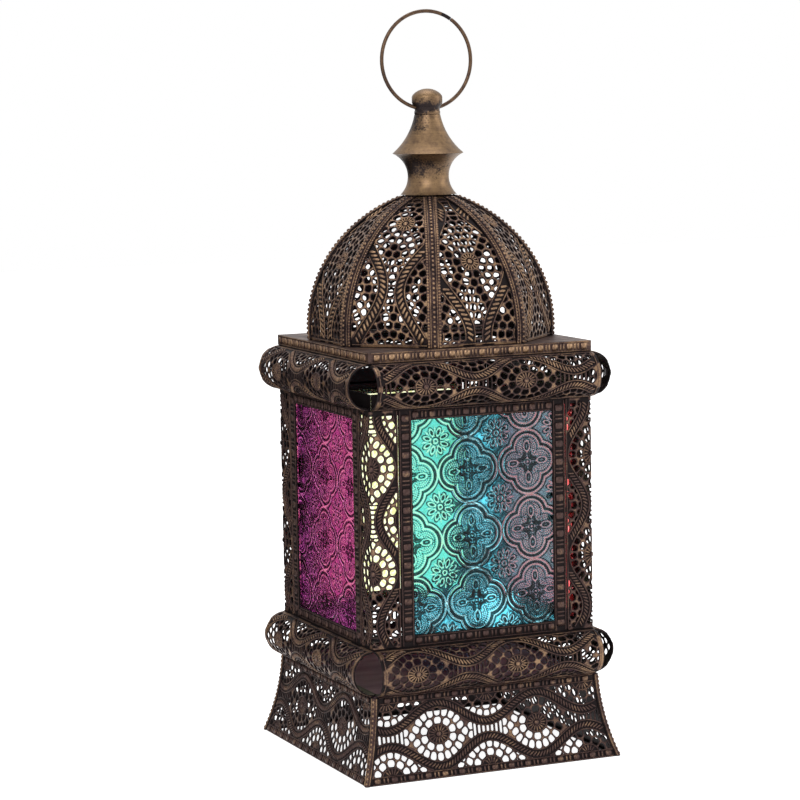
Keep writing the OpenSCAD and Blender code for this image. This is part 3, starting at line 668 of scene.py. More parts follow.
def roll_place_at(centre_z):
    def place(u, v, depth):
        turn = v / roll_radius
        reach = roll_radius - roll_sink - depth
        return np.stack([u + 0 * v, body_half + reach * np.cos(turn),
                         centre_z + reach * np.sin(turn)], 1)
    return place


def roll_room(u, v):
    return np.minimum(61 - np.abs(u), 16.6 - np.abs(v))


def roll_outline(u, v):
    return np.minimum(63.95 - np.abs(u), 19.2 - np.abs(v))


def roll_ledges(name, centre_z, upper):
    """The ledges at the edges of a roll and the lips that stand on them, inside the sheet. Under
    an upper roll the lip also rises as a low wall, which shows behind the roll's open ends."""
    edge = roll_radius - ledge_thick
    boxes = [(ledge_y, edge, roll_radius), (lip_y, edge, lip_top),
             (ledge_y, -roll_radius, -edge)]
    if upper:
        boxes.append((lip_y, -lip_top, -wall_foot))
    ledge = bmesh.new()
    for (y0, y1), foot, top in boxes:
        z0, z1 = centre_z + foot, centre_z + top
        for vert in bmesh.ops.create_cube(ledge, size=1.0)["verts"]:
            vert.co = Vector((vert.co.x * ledge_long, (y0 + y1) / 2 + vert.co.y * (y1 - y0),
                              (z0 + z1) / 2 + vert.co.z * (z1 - z0))) / 1000
    return closed_mesh(ledge, name, stamped_bronze)


def make_rolls(level, centre_z, phase, upper):
    place = roll_place_at(centre_z)
    field = stamped_field(wall_stamp, phase, roll_room, roll_outline)
    # The rolls are drawn a little darker than the same finish on the dome, as painted shade
    sheet = stamped_sheet(f"{level} roll sheet", (-64, 64, -19.3, 19.3), field, place, wear_and_shade=0.9)
    work = RaisedWork(place)
    rope_work(work, wall_stamp, (-62, 62), phase, roll_room)
    for v in (-17.2, 17.2):
        work.wire(np.linspace(-63, 63, 24), v)
    for u in (-62.2, 62.2):
        work.wire(u, np.linspace(-18.5, 18.5, 24))
    raised = work.bake(f"{level} roll raised work", wear_and_shade=0.88)
    ledges = roll_ledges(f"{level} roll ledges", centre_z, upper)
    for side, turn in SIDES.items():
        node = f"{level}_roll_{side}"
        for mesh, part in ((sheet, "sheet"), (raised, "ropes"), (ledges, "ledges")):
            turned_piece(mesh, f"{node}_{part}", turn, "lantern", "aged_bronze", node)


make_rolls("lower", lower_low[2] + roll_radius, 44.0, False)


# Corner posts
# Strips of stamped sheet folded down the middle stand on the lower rolls at the four corners and
# carry the roof. The two ropes run up them, one on each face, and meet rosettes on the fold.

wall_low, wall_high = node_box("post_back_right")[:, 2]
post_high = wall_high - wall_low
fold_radius = 1.4
post_stamp = dict(wall_stamp, pitch=54.5, edge=17.8, reach=2.05, web=0.85)
post_phase = 39.9
post_corners = ("back_right", "back_left", "front_left", "front_right")


def post_place(u, v, depth):
    """u is the height above the lower roll; v runs from the fold, over the back face where it is
    below zero and over the right face above."""
    flat = fold_radius * math.pi / 4
    run = np.maximum(np.abs(v) - flat, 0)
    turn = np.clip(v / fold_radius, -math.pi / 4, math.pi / 4)
    reach = fold_radius - depth
    base = body_half - fold_radius
    across = base + reach * np.cos(math.pi / 4 - turn)
    upright = base + reach * np.cos(math.pi / 4 + turn)
    x = np.where(v > 0, across, across - run)
    y = np.where(v > 0, upright - run, upright)
    return np.stack([x, y, wall_low + u], 1)


def post_room(u, v):
    return np.minimum(14.6 - np.abs(v), np.minimum(u - 1.5, post_high - 1.5 - u))


def post_outline(u, v):
    return np.minimum(15.4 - np.abs(v), np.minimum(u - 0.05, post_high - 0.05 - u))


post_field = stamped_field(post_stamp, post_phase, post_room, post_outline)
# The posts are drawn darker than the same finish on the dome, as painted shade
post_sheet = stamped_sheet("post sheet", (0, post_high, -15.5, 15.5), post_field, post_place,
                           wear_and_shade=0.8)
post_work = RaisedWork(post_place)
rope_work(post_work, post_stamp, (0.5, post_high - 0.5), post_phase, post_room)
for v in (-14.9, 14.9):
    post_work.wire(np.linspace(0.5, post_high - 0.5, 32), v)
post_raised = post_work.bake("post raised work", wear_and_shade=0.75)
for number, corner in enumerate(post_corners):
    node = f"post_{corner}"
    for mesh, part in ((post_sheet, "sheet"), (post_raised, "ropes")):
        turned_piece(mesh, f"{node}_{part}", 90 * number, "lantern", "aged_bronze", node)


# Window frames and door
# A flat strip of sheet, pressed with bosses and bars, frames each pane. Three are soldered to the
# posts; the back one is smaller all round and swings on two hinges, so that the candle can be
# changed.

(frame_behind, _, _), (_, frame_half, _) = node_box("frame_right")
frame_front = frame_behind + 0.65
window_half = frame_half - 7.5
window_low, window_high = wall_low + 6, wall_high - 6
strip_rub = 0.04


def frame_strip(name, wide, low, high):
    """Flat frame between its outer edge and the window."""
    strip = bmesh.new()
    loops = [[(-x, z0), (x, z0), (x, z1), (-x, z1)]
             for x, z0, z1 in ((wide, low, high), (window_half, window_low, window_high))]
    front, behind = ([[strip.verts.new((x / 1000, y / 1000, z / 1000)) for x, z in loop]
                      for loop in loops] for y in (frame_front, frame_behind))
    for k in range(4):
        j = (k + 1) % 4
        strip.faces.new([front[0][k], front[0][j], front[1][j], front[1][k]])
        strip.faces.new([behind[0][j], behind[0][k], behind[1][k], behind[1][j]])
        strip.faces.new([front[0][j], front[0][k], behind[0][k], behind[0][j]])
        strip.faces.new([front[1][k], front[1][j], behind[1][j], behind[1][k]])
    bmesh.ops.recalc_face_normals(strip, faces=strip.faces)
    bmesh.ops.bevel(strip, geom=strip.edges[:], offset=0.00015, segments=1, affect="EDGES")
    mesh = closed_mesh(strip, name, stamped_bronze)
    rub_and_shade = np.full(len(mesh.vertices), strip_rub, np.float32)
    mesh.attributes.new("rub_and_shade", "FLOAT", "POINT").data.foreach_set("value", rub_and_shade)
    return mesh


def face_place(u, v, depth):
    return np.stack([u, body_half - depth, v + 0 * u], 1)


def make_frame(name, gap):
    """The strip and the raised work of a frame that is smaller by gap all round."""
    wide, low, high = frame_half - gap, wall_low + gap, wall_high - gap
    work = RaisedWork(face_place)
    stile = (window_half + wide) / 2
    for side in (-1, 1):
        boss_row(work, (side * stile, low + 0.8), (side * stile, high - 0.8), width=4.8,
                 reach=2.9, depth=0.0)
    for z in ((low + window_low) / 2, (high + window_high) / 2):
        boss_row(work, (-39, z), (39, z), width=3.8, reach=2.3, depth=0.0)
    # The bosses are drawn darker than the same finish on the dome, as painted shade
    return ((frame_strip(f"{name} strip", wide, low, high), "strip"),
            (work.bake(f"{name} bosses", 0.3, 0.66), "bosses"))


fixed_frame = make_frame("window", 0.0)
for side in ("front", "left", "right"):
    for mesh, part in fixed_frame:
        turned_piece(mesh, f"frame_{side}_{part}", SIDES[side], "lantern", "aged_bronze",
                     f"frame_{side}")
for mesh, part in make_frame("door", 0.4):
    turned_piece(mesh, f"door_{part}", BACK, "door", "aged_bronze", "door_frame")


# Glass panes
# Pressed glass nearly 3 mm thick, one colour to each side. The roller that shapes it while hot
# leaves raised quatrefoils with a dotted ground, and small flowers between them, on the outer
# face; the inner face is flat.

motif_pitch = 34.7
motif_tilt = math.radians(3.3)
(_, _, pane_low), (pane_half, _, pane_high) = node_box("glass_back")
pane_outer, pane_inner, relief_high = 62.45, 60.22, 0.3
plain_relief = 0.45


def ridge(distance, wide):
    """A rounded ridge with a sharp groove along each side."""
    groove = np.exp(-((np.abs(distance) / wide - 2.0) / 0.85) ** 2)
    return np.exp(-(distance / wide) ** 2) - 0.65 * groove


def quatrefoil(x, z):
    """Relief of the quatrefoils, from 0 in the grooves to 1 on the ridges."""
    lobe_out, dot_edge, dot_pitch, dot_radius = 7.3, 6.2, 1.1, 0.5
    # A quatrefoil is alike in its eight parts, so a point is folded into its nearest lobe's part
    cx = np.abs((x + motif_pitch / 2) % motif_pitch - motif_pitch / 2)
    cz = np.abs((z + motif_pitch / 2) % motif_pitch - motif_pitch / 2)
    far, near = np.maximum(cx, cz), np.minimum(cx, cz)
    lobe = np.hypot(far - lobe_out, near)
    centre = np.hypot(cx, cz)
    height = np.where(lobe < 7.1, 0.12, plain_relief)
    height = height - 0.4 * (np.clip((9.2 - lobe) / 0.5, 0, 1)
                             * np.clip((lobe - 7.4) / 0.5, 0, 1))
    # Dots stand in rows that follow the lobe's edge
    row = np.round((lobe - dot_edge) / dot_pitch)
    row_radius = np.maximum(dot_edge + dot_pitch * row, 0.6)
    step = 2 * math.pi / np.round(2 * math.pi * row_radius / dot_pitch)
    swing = np.arctan2(near, far - lobe_out)
    beside = ((swing + step / 2) % step - step / 2) * row_radius
    dot = np.clip(1.3 - (np.hypot(lobe - row_radius, beside) / dot_radius) ** 2, 0, 1)
    petal = (1 - np.hypot((far - 8.3) / 2.9, near / 1.6)) * 1.8
    crescent = np.minimum(2.5 - np.hypot(cx - 3.5, cz - 3.5), np.hypot(cx - 4.5, cz - 4.5) - 1.7)
    plain = ((lobe > 6.75) | (petal > -0.45) | (crescent > -0.2) | (centre < 2.3)
             | ((near < 0.6) & (far < 6)))
    height = np.maximum(height, 0.9 * np.where(plain, 0, dot))
    height = np.where(petal > 0, 0.12 + 0.3 * np.clip(1 - near / 0.7, 0, 1), height)
    height = np.where(crescent > 0, 0.08, height)
    # Two rims round the lobe, then its petal, the middle ring, the crescent and the cross
    for line in (ridge(lobe - 9.65, 0.5), ridge(lobe - 7.05, 0.46), ridge(petal, 0.38),
                 ridge(centre - 1.65, 0.42), 0.7 * ridge(crescent, 0.3),
                 ridge(near, 0.4) * (far > 1.9) * (far < 5.4)):
        height = height + 0.8 * line
    return height


def pressed_motif(x, z):
    """Relief from 0 to 1, with a flower of eight narrow petals and eight bevelled leaves in each
    gap between quatrefoils."""
    height = quatrefoil(x, z)
    fx, fz = x % motif_pitch - motif_pitch / 2, z % motif_pitch - motif_pitch / 2
    centre = np.hypot(fx, fz)
    turn = np.arctan2(fz, fx)
    leaf_turn = (turn + math.pi / 8) % (math.pi / 4) - math.pi / 8
    petal_turn = turn % (math.pi / 4) - math.pi / 8
    along, beside = centre * np.cos(petal_turn), centre * np.sin(petal_turn)
    petal = (1 - np.hypot((along - 5.0) / 1.9, beside / 1.0)) * 1.4
    bead = np.hypot(along - 2.55, beside)
    leaf_wide = (1.55 * np.clip((centre - 3.4) / 2.2, 0, 1)
                 * np.clip((8.4 - centre) / 2.8, 0, 1) ** 0.7)
    leaf = np.abs(centre * np.sin(leaf_turn))
    in_leaf = (leaf < leaf_wide) & (petal < 0)
    height = np.where(in_leaf, 0.05 + 0.9 * (1 - leaf / np.maximum(leaf_wide, 0.2)), height)
    height = np.where(petal > 0.1, 0.05, height)
    height = height + 0.8 * ridge(petal, 0.38) + 0.8 * ridge(centre - 1.2, 0.4)
    return np.clip(height + 0.5 * ridge(bead - 0.6, 0.32), 0, 1)


def pressed_pane(name, shift_x, shift_z, mirrored, step):
    """A pane on the back face, with the motif's grid moved by the given mm and turned a few
    degrees. The relief stays off its rim."""
    x_line = np.concatenate([[-pane_half], np.arange(-41.2, 41.3, step), [pane_half]])
    z_line = np.concatenate([[pane_low], np.arange(74.4, 188.3, step), [pane_high]])
    x, z = np.meshgrid(x_line, z_line, indexing="ij")
    mx, mz = (-x if mirrored else x) - shift_x, z - shift_z
    height = pressed_motif(mx * math.cos(motif_tilt) + mz * math.sin(motif_tilt),
                           -mx * math.sin(motif_tilt) + mz * math.cos(motif_tilt))
    rim = (np.clip(42.5 - np.abs(x), 0, 1) * np.clip(z - 73.2, 0, 1)
           * np.clip(189.2 - z, 0, 1))
    y = pane_outer + relief_high * height * rim
    nx, nz = x.shape
    number = np.arange(nx * nz).reshape(nx, nz)
    faces = np.stack([number[:-1, :-1], number[:-1, 1:], number[1:, 1:], number[1:, :-1]],
                     2).reshape(-1, 4).tolist()
    points = np.stack([x, y, z], 2).reshape(-1, 3)
    # The flat inner face has one point for each point of the rim
    loop = np.concatenate([number[:, 0], number[-1, 1:], number[-2::-1, -1], number[0, -2:0:-1]])
    inner = points[loop] * [1, 0, 1] + [0, pane_inner, 0]
    behind = np.arange(len(loop)) + nx * nz
    sides = np.stack([loop, np.roll(loop, -1), np.roll(behind, -1), behind], 1)
    faces += sides.tolist() + [behind.tolist()]
    mesh = bpy.data.meshes.new(name)
    mesh.from_pydata((np.concatenate([points, inner]) / 1000).tolist(), [], faces)
    mesh.shade_smooth()
    flat = np.zeros(len(mesh.polygons), bool)
    flat[-len(loop) - 1:] = True
    mesh.attributes.new("sharp_face", "BOOLEAN", "FACE").data.foreach_set("value", flat)
    relief = np.concatenate([height.ravel(), np.full(len(loop), plain_relief)]).astype(np.float32)
    mesh.attributes.new("relief", "FLOAT", "POINT").data.foreach_set("value", relief)
    return mesh


def pressed_glass(name, deep, tint, ridge_highlight):
    """Coloured soda-lime glass, polished on the ridges and left rough in the grooves by the press.
    Its colour is painted shade in the grooves and a painted highlight on the ridges, for light the
    relief bends."""
    material, tree = new_material(name)
    where = add_node(tree, "ShaderNodeTexCoord", out="Object")
    # Uneven flow of the hot glass, waves about 6 mm long
    wave = add_node(tree, "ShaderNodeTexNoise", {"Vector": where, "Scale": 160.0, "Detail": 2.0})
    bump = add_node(tree, "ShaderNodeBump", {"Height": wave, "Strength": 0.3, "Distance": 0.0003})
    relief = add_node(tree, "ShaderNodeAttribute", out="Fac", attribute_name="relief")
    shift = add_node(tree, "ShaderNodeMapRange", {"Value": wave, 1: 0.3, 2: 0.7, 3: -0.1, 4: 0.1})
    level = add_node(tree, "ShaderNodeMath", {0: relief, 1: shift}, operation="ADD")
    # Dark in the grooves as painted shade, pale on the ridges as a painted highlight
    colour = three_tones(tree, level, (0.1, 0.46), (0.5, 0.8), (deep, tint, ridge_highlight))
    rough = add_node(tree, "ShaderNodeMapRange",
                     {"Value": level, 1: 0.0, 2: 0.8, 3: 0.14, 4: 0.07})
    # The IOR is below glass's 1.5, as if through a polarising filter, which takes the white
    # room's mirror image off it
    feed(tree.nodes["Principled BSDF"],
         {"Base Color": colour, "Roughness": rough, "Normal": bump, "Transmission Weight": 0.96,
          "Specular IOR Level": 0.3, "IOR": 1.24})
    return material


# Each pane's painted shade in grooves, colour between and painted highlight on ridges; its motif's
# place, whether it is laid mirrored, and the grid that the relief is drawn on, coarser where a pane
# is seldom seen
for side, body, colour, slot, tones, motif in (
        ("front", "lantern", "turquoise", "turquoise_glass", ("#021114", "#60d6ee", "#faffff"),
         (-6.2, 124.6, True, 0.36)),
        ("left", "lantern", "magenta", "magenta_glass", ("#12020f", "#a83a90", "#ffa8d0"),
         (4.0, 118.0, False, 0.44)),
        ("right", "lantern", "red", "red_glass", ("#c8484c", "#ff6468", "#ffc8c4"),
         (-3.0, 130.0, False, 0.85)),
        ("back", "door", "yellow-green", "yellow_glass", ("#c4c870", "#f8fad2", "#fffff2"),
         (7.0, 121.0, False, 0.85))):
    pane = pressed_pane(f"{side} pane", *motif)
    pane.materials.append(pressed_glass(f"{colour} pressed glass", *tones))
    turned_piece(pane, f"glass_{side}_pane", SIDES[side], body, slot, f"glass_{side}")


# Clips
# Narrow tabs of plain sheet, two on each side of a pane, are bent over its inner face to hold it.
# They have the undercoat and a thin, uneven film of bronze.

# A dark and fairly even brown, as nothing on these pieces stands up to be rubbed bright
plain_bronze = aged_bronze("plain iron sheet in antique bronze",
                           "#241a1a", "#4f3d38", "#8a6f57", 0.5)
finish_nodes(plain_bronze, "clips_front", "clips_left", "clips_right", "clips_back")


# Upper rolls and roof plate
# The upper rolls close the walls at the top as the lower ones do at the foot. On them lies a
# square tray with its rim turned down, pressed with bosses and bars, and open in the middle under
# the dome.

make_rolls("upper", node_box("upper_roll_back")[:, 2].mean(), 37.0, True)
finish_nodes(plain_bronze, "roof_plate")

roof_low, roof_high = node_box("roof_plate")[:, 2]
roof_mid = (roof_low + roof_high) / 2
rim_work = RaisedWork(face_place)
boss_row(rim_work, (-62.5, roof_mid), (62.5, roof_mid), width=4.0, reach=2.35, depth=-0.05,
         pitch=8.5)
rim_raised = rim_work.bake("roof rim bosses", 0.3)
for side, turn in SIDES.items():
    turned_piece(rim_raised, f"roof_rim_{side}_bosses", turn, "lantern", "aged_bronze")


# Dome gores
# Eight stamped sheets, each bent one way to the dome's arc, meet at mitres. The ones over the
# sides have their rosette half way up; the ones over the corners have it under the finial and a
# waist lower down.

gore_radius = 75.07
gore_axis = (-14.003, roof_high + 6.329)  # y and z of the axis that a gore is bent about
gore_half_angle = math.radians(22.5)
gore_foot, gore_top = -6.3, 91.0
gore_phases = (39.2, 64.7)  # over the sides, over the corners
dome_rings = [oval_ring(10, 7.6, 7.6, 0.5), oval_ring(16, 12.0, 12.0),
              oval_ring(22, 16.4, 16.4, 0.5), oval_ring(28, 20.8, 20.8)]
dome_stamp = {"pitch": 80.0, "mid": 13.4, "sway": 8.6, "rope": 3.0, "edge": 25.0,
              "oval": (5.2, 5.2), "reach": 2.2, "web": 1.0, "slots": False, "bar_step": 2.7,
              "petal_depth": 0.2}
dome_stamp["cells"] = np.concatenate([*dome_rings, oval_ring(34, 25.2, 25.2, 0.5),
                                      oval_ring(40, 29.4, 29.4),
                                      [[33.2, 0], [36.6, 0], [40.0, 0]]])
dome_stamp["edge_cells"] = np.concatenate(dome_rings)


def gore_place(u, v, depth):
    turn = u / gore_radius
    reach = gore_radius - depth
    return np.stack([v + 0 * u, gore_axis[0] + reach * np.cos(turn),
                     gore_axis[1] + reach * np.sin(turn)], 1)


def gore_half_width(u):
    return (gore_axis[0] + gore_radius * np.cos(u / gore_radius)) * math.tan(gore_half_angle)


def gore_room(u, v):
    ends = np.minimum(u - gore_foot - 2, gore_top - 3 - u)
    return np.minimum(gore_half_width(u) - 4.1 - np.abs(v), ends)


def gore_outline(u, v):
    ends = np.minimum(u - gore_foot, gore_top - u)
    return np.minimum(gore_half_width(u) - 1.0 - np.abs(v), ends)


for first, phase in enumerate(gore_phases):
    gore_field = stamped_field(dome_stamp, phase, gore_room, gore_outline)
    gore_sheet = stamped_sheet("gore sheet", (-6.4, gore_top, -25.5, 25.5), gore_field,
                               gore_place, 0.68)
    gore_work = RaisedWork(gore_place)
    rope_work(gore_work, dome_stamp, (-6, 90), phase, gore_room)
    gore_work.wire(-5.0, np.linspace(-21, 21, 20))
    gore_raised = gore_work.bake("gore raised work")
    for k in range(first, 8, 2):
        node = f"dome_gore_{k + 1}"
        for mesh, part in ((gore_sheet, "sheet"), (gore_raised, "ropes")):
            turned_piece(mesh, f"{node}_{part}", 45 * k, "lantern", "aged_bronze", node)


# Dome ribs and crown
# A strip of sheet folded lengthwise covers each joint between gores and is soldered on. It is
# pressed with a row of beads along the fold, and its edges are finely notched.

rib_rise = 0.75
rib_foot, rib_top = -6.2, 90.3
notch_pitch = 1.6


def rib_place(u, v, depth):
    """u runs up the gores and v to both sides of the joint. The rib stands on two gores' arcs."""
    turn = u / gore_radius
    reach = gore_radius + rib_rise - depth
    y = gore_axis[0] + reach * np.cos(turn)
    soft = np.sqrt(np.abs(v) ** 2 + 0.5) - 0.2
    x = (y * math.sin(gore_half_angle) - soft) / math.cos(gore_half_angle)
    out = y * math.cos(gore_half_angle) + x * math.sin(gore_half_angle)
    return np.stack([-v + 0 * u, out, gore_axis[1] + reach * np.sin(turn)], 1)


def rib_field(u, v):
    notched = 3.55 + 0.2 * np.cos(2 * math.pi * u / notch_pitch)
    shoulder = np.clip(0.5 + (np.abs(v) - 2.6) / 0.5, 0, 1) * 0.6 + 0.3
    ends = np.minimum(u - rib_foot, rib_top - u)
    return np.minimum(notched - np.abs(v), ends), shoulder


rib_sheet = stamped_sheet("rib sheet", (rib_foot, rib_top, -3.8, 3.8), rib_field, rib_place, 0.66)
rib_work = RaisedWork(rib_place)
rib_work.put(BEAD, np.arange(-5, 88.5, 2.5), 0.0, 0.0, (1.9, 1.7, 1.5), 0.2)
for side in (-1, 1):
    rib_work.put(BAR, np.arange(-5.6, 88.5, notch_pitch), side * 2.9, math.pi / 2,
                 (1.5, 0.9, 0.8), 0.15)
    rib_work.wire(np.linspace(-6, 89, 60), side * 1.75)
rib_raised = rib_work.bake("rib beads", 0.28)
for k in range(8):
    for mesh, part in ((rib_sheet, ""), (rib_raised, "_beads")):
        turned_piece(mesh, f"dome_rib_{k + 1}{part}", 45 * k + 22.5, "lantern", "aged_bronze",
                     "dome_ribs")
finish_nodes(plain_bronze, "dome_crown")
finish_nodes(zinc, "finial_stud", "finial_nut")


# Finial
# Spun sheet in two halves, a waisted neck and a hollow-sided bell that meet in a sharp rim, under
# a small turned knob. A threaded stud draws all of it down onto the ribs. The finish is bronze,
# brushed in the lathe and darkened in patches.

def brushed_bronze(name, bright, mid, dark):
    """Bronze finish rubbed on by hand: mottled, faintly ringed by the lathe, and black where the
    attribute grime is high: in dark patches, and as painted shade down one side of the finial."""
    material, tree = new_material(name)
    where = add_node(tree, "ShaderNodeTexCoord", out="Object")
    # Lathe marks: rings about 0.8 mm apart, nearly even round the axis
    rings = add_node(tree, "ShaderNodeMapping", {"Vector": where, "Scale": (0.04, 0.04, 1.0)})
    marks = add_node(tree, "ShaderNodeTexNoise", {"Vector": rings, "Scale": 1200.0, "Detail": 2.0})
    # Mottling, 3 mm across and finer
    mottle = add_node(tree, "ShaderNodeTexNoise",
                      {"Vector": where, "Scale": 320.0, "Detail": 5.0, "Roughness": 0.65})
    both = add_node(tree, "ShaderNodeMath", {0: marks, 1: 0.3, 2: mottle},
                    operation="MULTIPLY_ADD")
    tone = add_node(tree, "ShaderNodeMapRange", {"Value": both, 1: 0.45, 2: 0.85})
    colour = add_node(tree, "ShaderNodeMix", {0: tone, 6: linear(mid), 7: linear(bright)},
                      out=2, data_type="RGBA")
    stain_and_shade = add_node(tree, "ShaderNodeAttribute", out="Fac", attribute_name="stain_and_shade")
    # Flecks under 1 mm break up the edges of the dark patches
    fleck = add_node(tree, "ShaderNodeTexNoise", {"Vector": where, "Scale": 1100.0, "Detail": 3.0})
    level = add_node(tree, "ShaderNodeMath", {0: mottle, 1: 1.1, 2: stain_and_shade},
                     operation="MULTIPLY_ADD")
    level = add_node(tree, "ShaderNodeMath", {0: fleck, 1: 0.7, 2: level},
                     operation="MULTIPLY_ADD")
    dark_share = add_node(tree, "ShaderNodeMapRange",
                     {"Value": level, 1: 1.1, 2: 1.5, 3: 0.0, 4: 0.95},
                     interpolation_type="SMOOTHSTEP")
    colour = add_node(tree, "ShaderNodeMix", {0: dark_share, 6: colour, 7: linear(dark)},
                      out=2, data_type="RGBA")
    rough = add_node(tree, "ShaderNodeMapRange",
                     {"Value": mottle, 1: 0.3, 2: 0.7, 3: 0.36, 4: 0.52})
    bump = add_node(tree, "ShaderNodeBump", {"Height": both, "Strength": 0.25, "Distance": 0.0001})
    feed(tree.nodes["Principled BSDF"],
         {"Base Color": colour, "Roughness": rough, "Normal": bump, "Metallic": 0.85})
    return material


# Gold-brown satin with dark blotches
spun_bronze = brushed_bronze("spun brass in antique bronze finish",
                             "#8b7051", "#5b4737", "#1d181c")


def store_stain_and_shade(mesh, stain_and_shade):
    marks = mesh.attributes.new("stain_and_shade", "FLOAT", "POINT")
    marks.data.foreach_set("value", np.asarray(stain_and_shade, np.float32))


def patch(value, middle, spread):
    """1 at the middle, falling off to 0 about two spreads away."""
    return np.exp(-((value - middle) / spread) ** 2)


def join_rings(shape, low, high):
    """Faces between two rings of points; a ring of one point is a pole."""
    steps = max(len(low), len(high))
    for k in range(steps if steps > 1 else 0):
        j = (k + 1) % steps
        if len(low) == 1:
            shape.faces.new([low[0], high[k], high[j]])
        elif len(high) == 1:
            shape.faces.new([low[k], low[j], high[0]])
        else:
            shape.faces.new([low[k], low[j], high[j], high[k]])


def turned_shape(name, profile, steps=96):
    """A closed shape turned from an (r, z) outline; points on the axis close it."""
    shape = bmesh.new()
    turns = [2 * math.pi * k / steps for k in range(steps)]
    rings = [[shape.verts.new((r * math.sin(a) / 1000, r * math.cos(a) / 1000, z / 1000))
              for a in (turns if r > 0 else turns[:1])] for r, z in profile]
    pairs = list(zip(rings, rings[1:]))
    if len(rings[0]) > 1:
        pairs.append((rings[-1], rings[0]))
    for low, high in pairs:
        join_rings(shape, low, high)
    mesh = closed_mesh(shape, name, spun_bronze)
    mesh.shade_smooth()
    mesh.set_sharp_from_angle(angle=math.radians(50))
    return mesh


foot_z, rim_z = node_box("finial_neck")[:, 2]
bell_z = node_box("finial_bell")[1, 2]
neck_arc = (24.54, foot_z + 9.65, 13.5)  # r and z of the middle, and the radius
bell_arc = (42.25, bell_z + 7.07, 36.0)
neck_rim, bell_rim, neck_foot, bolt_hole, bell_shelf = 19.0, 17.9, 14.3, 2.1, 5.9


def arc_radius(arc, z, inset=0.0):
    return arc[0] - math.sqrt(max((arc[2] + inset) ** 2 - (z - arc[1]) ** 2, 0))


neck_levels = np.linspace(foot_z, rim_z, 40)
neck_profile = [(arc_radius(neck_arc, z), z) for z in neck_levels[:-1]]
neck_profile += [(neck_rim, rim_z - 0.05)]
neck_profile += [(arc_radius(neck_arc, z, sheet_thick), z) for z in neck_levels[-4:0:-1]]
neck_profile += [(neck_foot, foot_z)]
bell_levels = np.linspace(rim_z, bell_z, 40)
bell_profile = [(bell_rim, rim_z + 0.02)] + [(arc_radius(bell_arc, z), z) for z in bell_levels]
bell_profile += [(bolt_hole, bell_z), (bolt_hole, bell_z - sheet_thick),
                 (bell_shelf, bell_z - sheet_thick)]
bell_profile += [(arc_radius(bell_arc, z, sheet_thick), z) for z in bell_levels[-5:4:-1]]
knob_profile = [(r, bell_z + up) for r, up in (
    (0, 0), (6.6, 0), (6.95, 0.3), (6.95, 1.6), (6.7, 2.1), (6.75, 3.2), (7.2, 4.4), (7.9, 5.4),
    (8.2, 6.6), (8.2, 9.2), (8.0, 10.1), (7.4, 10.9), (6.3, 11.9), (4.8, 12.8), (3.0, 13.5),
    (1.5, 13.8), (0, 13.88))]
for name, profile, node in (("finial_neck_spun", neck_profile, "finial_neck"),
                            ("finial_bell_spun", bell_profile, "finial_bell"),
                            ("finial_knob_turned", knob_profile, "finial_knob")):
    spun = turned_shape(name, profile)
    x, y, z = np.array([vert.co for vert in spun.vertices]).T * 1000
    # Darkest in the knob's lower groove, on the bell's shoulder, under the rim and at the foot,
    # more on one side; that lean to one side is painted shade
    side = (y * 0.4 - x * 0.9) / np.maximum(np.hypot(x, y), 1)
    stain_and_shade = 0.68 * patch(z, bell_z + 4.19, 3.2)
    stain_and_shade += (0.28 + 0.36 * side) * patch(z, bell_z - 4.31, 7.5)
    stain_and_shade += (0.48 + 0.22 * side) * patch(z, rim_z - 6.81, 7.5) + 0.3 * patch(z, foot_z + 0.19, 1.5)
    store_stain_and_shade(spun, np.where(z < bell_z - 0.01, stain_and_shade, np.maximum(stain_and_shade, 0.2)))
    turned_piece(spun, name, 0, "lantern", "rubbed_bronze", node)


# Carrying ring
# Round wire bent to a ring through the knob's cross bore, its two ends butted on one side. The
# wire has a satin bronze finish, darker at the top and low on one side.

# The finial's finish, worn thin and browner on the wire
wire_bronze = brushed_bronze("bronze-finished wire", "#634d3a", "#3b2c25", "#1a1519")
ring_z = node_box("hanging_ring")[:, 2].mean()
ring_line, wire_radius = 26.0, 0.99
ring_start, ring_turn = 57.0, 358.4  # degrees
ring_steps, wire_steps = 160, 14
ring = bmesh.new()
loops = []
for k in range(ring_steps):
    turn = math.radians(ring_start + ring_turn * k / (ring_steps - 1))
    loops.append([])
    for i in range(wire_steps):
        a = 2 * math.pi * i / wire_steps
        reach = ring_line + wire_radius * math.cos(a)
        loops[-1].append(ring.verts.new((reach * math.cos(turn) / 1000,
                                         wire_radius * math.sin(a) / 1000,
                                         (ring_z + reach * math.sin(turn)) / 1000)))
for low, high in zip(loops, loops[1:]):
    join_rings(ring, low, high)
ring.faces.new(loops[0])
ring.faces.new(loops[-1][::-1])
ring_mesh = closed_mesh(ring, "ring wire", wire_bronze)
ring_mesh.shade_smooth()
# One end is blackened by the cutter for 6 mm, and the wire is drawn darker at the top and low on
# one side
x, y, z = np.array([vert.co for vert in ring_mesh.vertices]).T * 1000
turn = np.degrees(np.arctan2(z - ring_z, x)) % 360
stain_and_shade = 0.9 * ((turn > 56.5) & (turn < 70))
store_stain_and_shade(ring_mesh, stain_and_shade + 0.42 * patch(turn, 205, 25) + 0.2 * patch(turn, 100, 20))
turned_piece(ring_mesh, "carrying_ring_wire", 0, "carrying_ring", "bronze_wire", "hanging_ring")


# Hinges and latch
# Two small butt hinges on the back hold the door, and a leaf that turns on a rivet in the post
# keeps it shut. Leaves are plain sheet in the lantern's bronze; pins and rivets are zinc-plated
# steel.

finish_nodes(plain_bronze, "hinge_post_leaves", "hinge_door_leaves", "latch")
finish_nodes(zinc, "hinge_pins", "latch_rivet")


# Studio
# Plain pale floor and backdrop, one broad soft lamp from the front left, a weaker one from the
# right and one above. The camera stands where the photograph's camera stood.

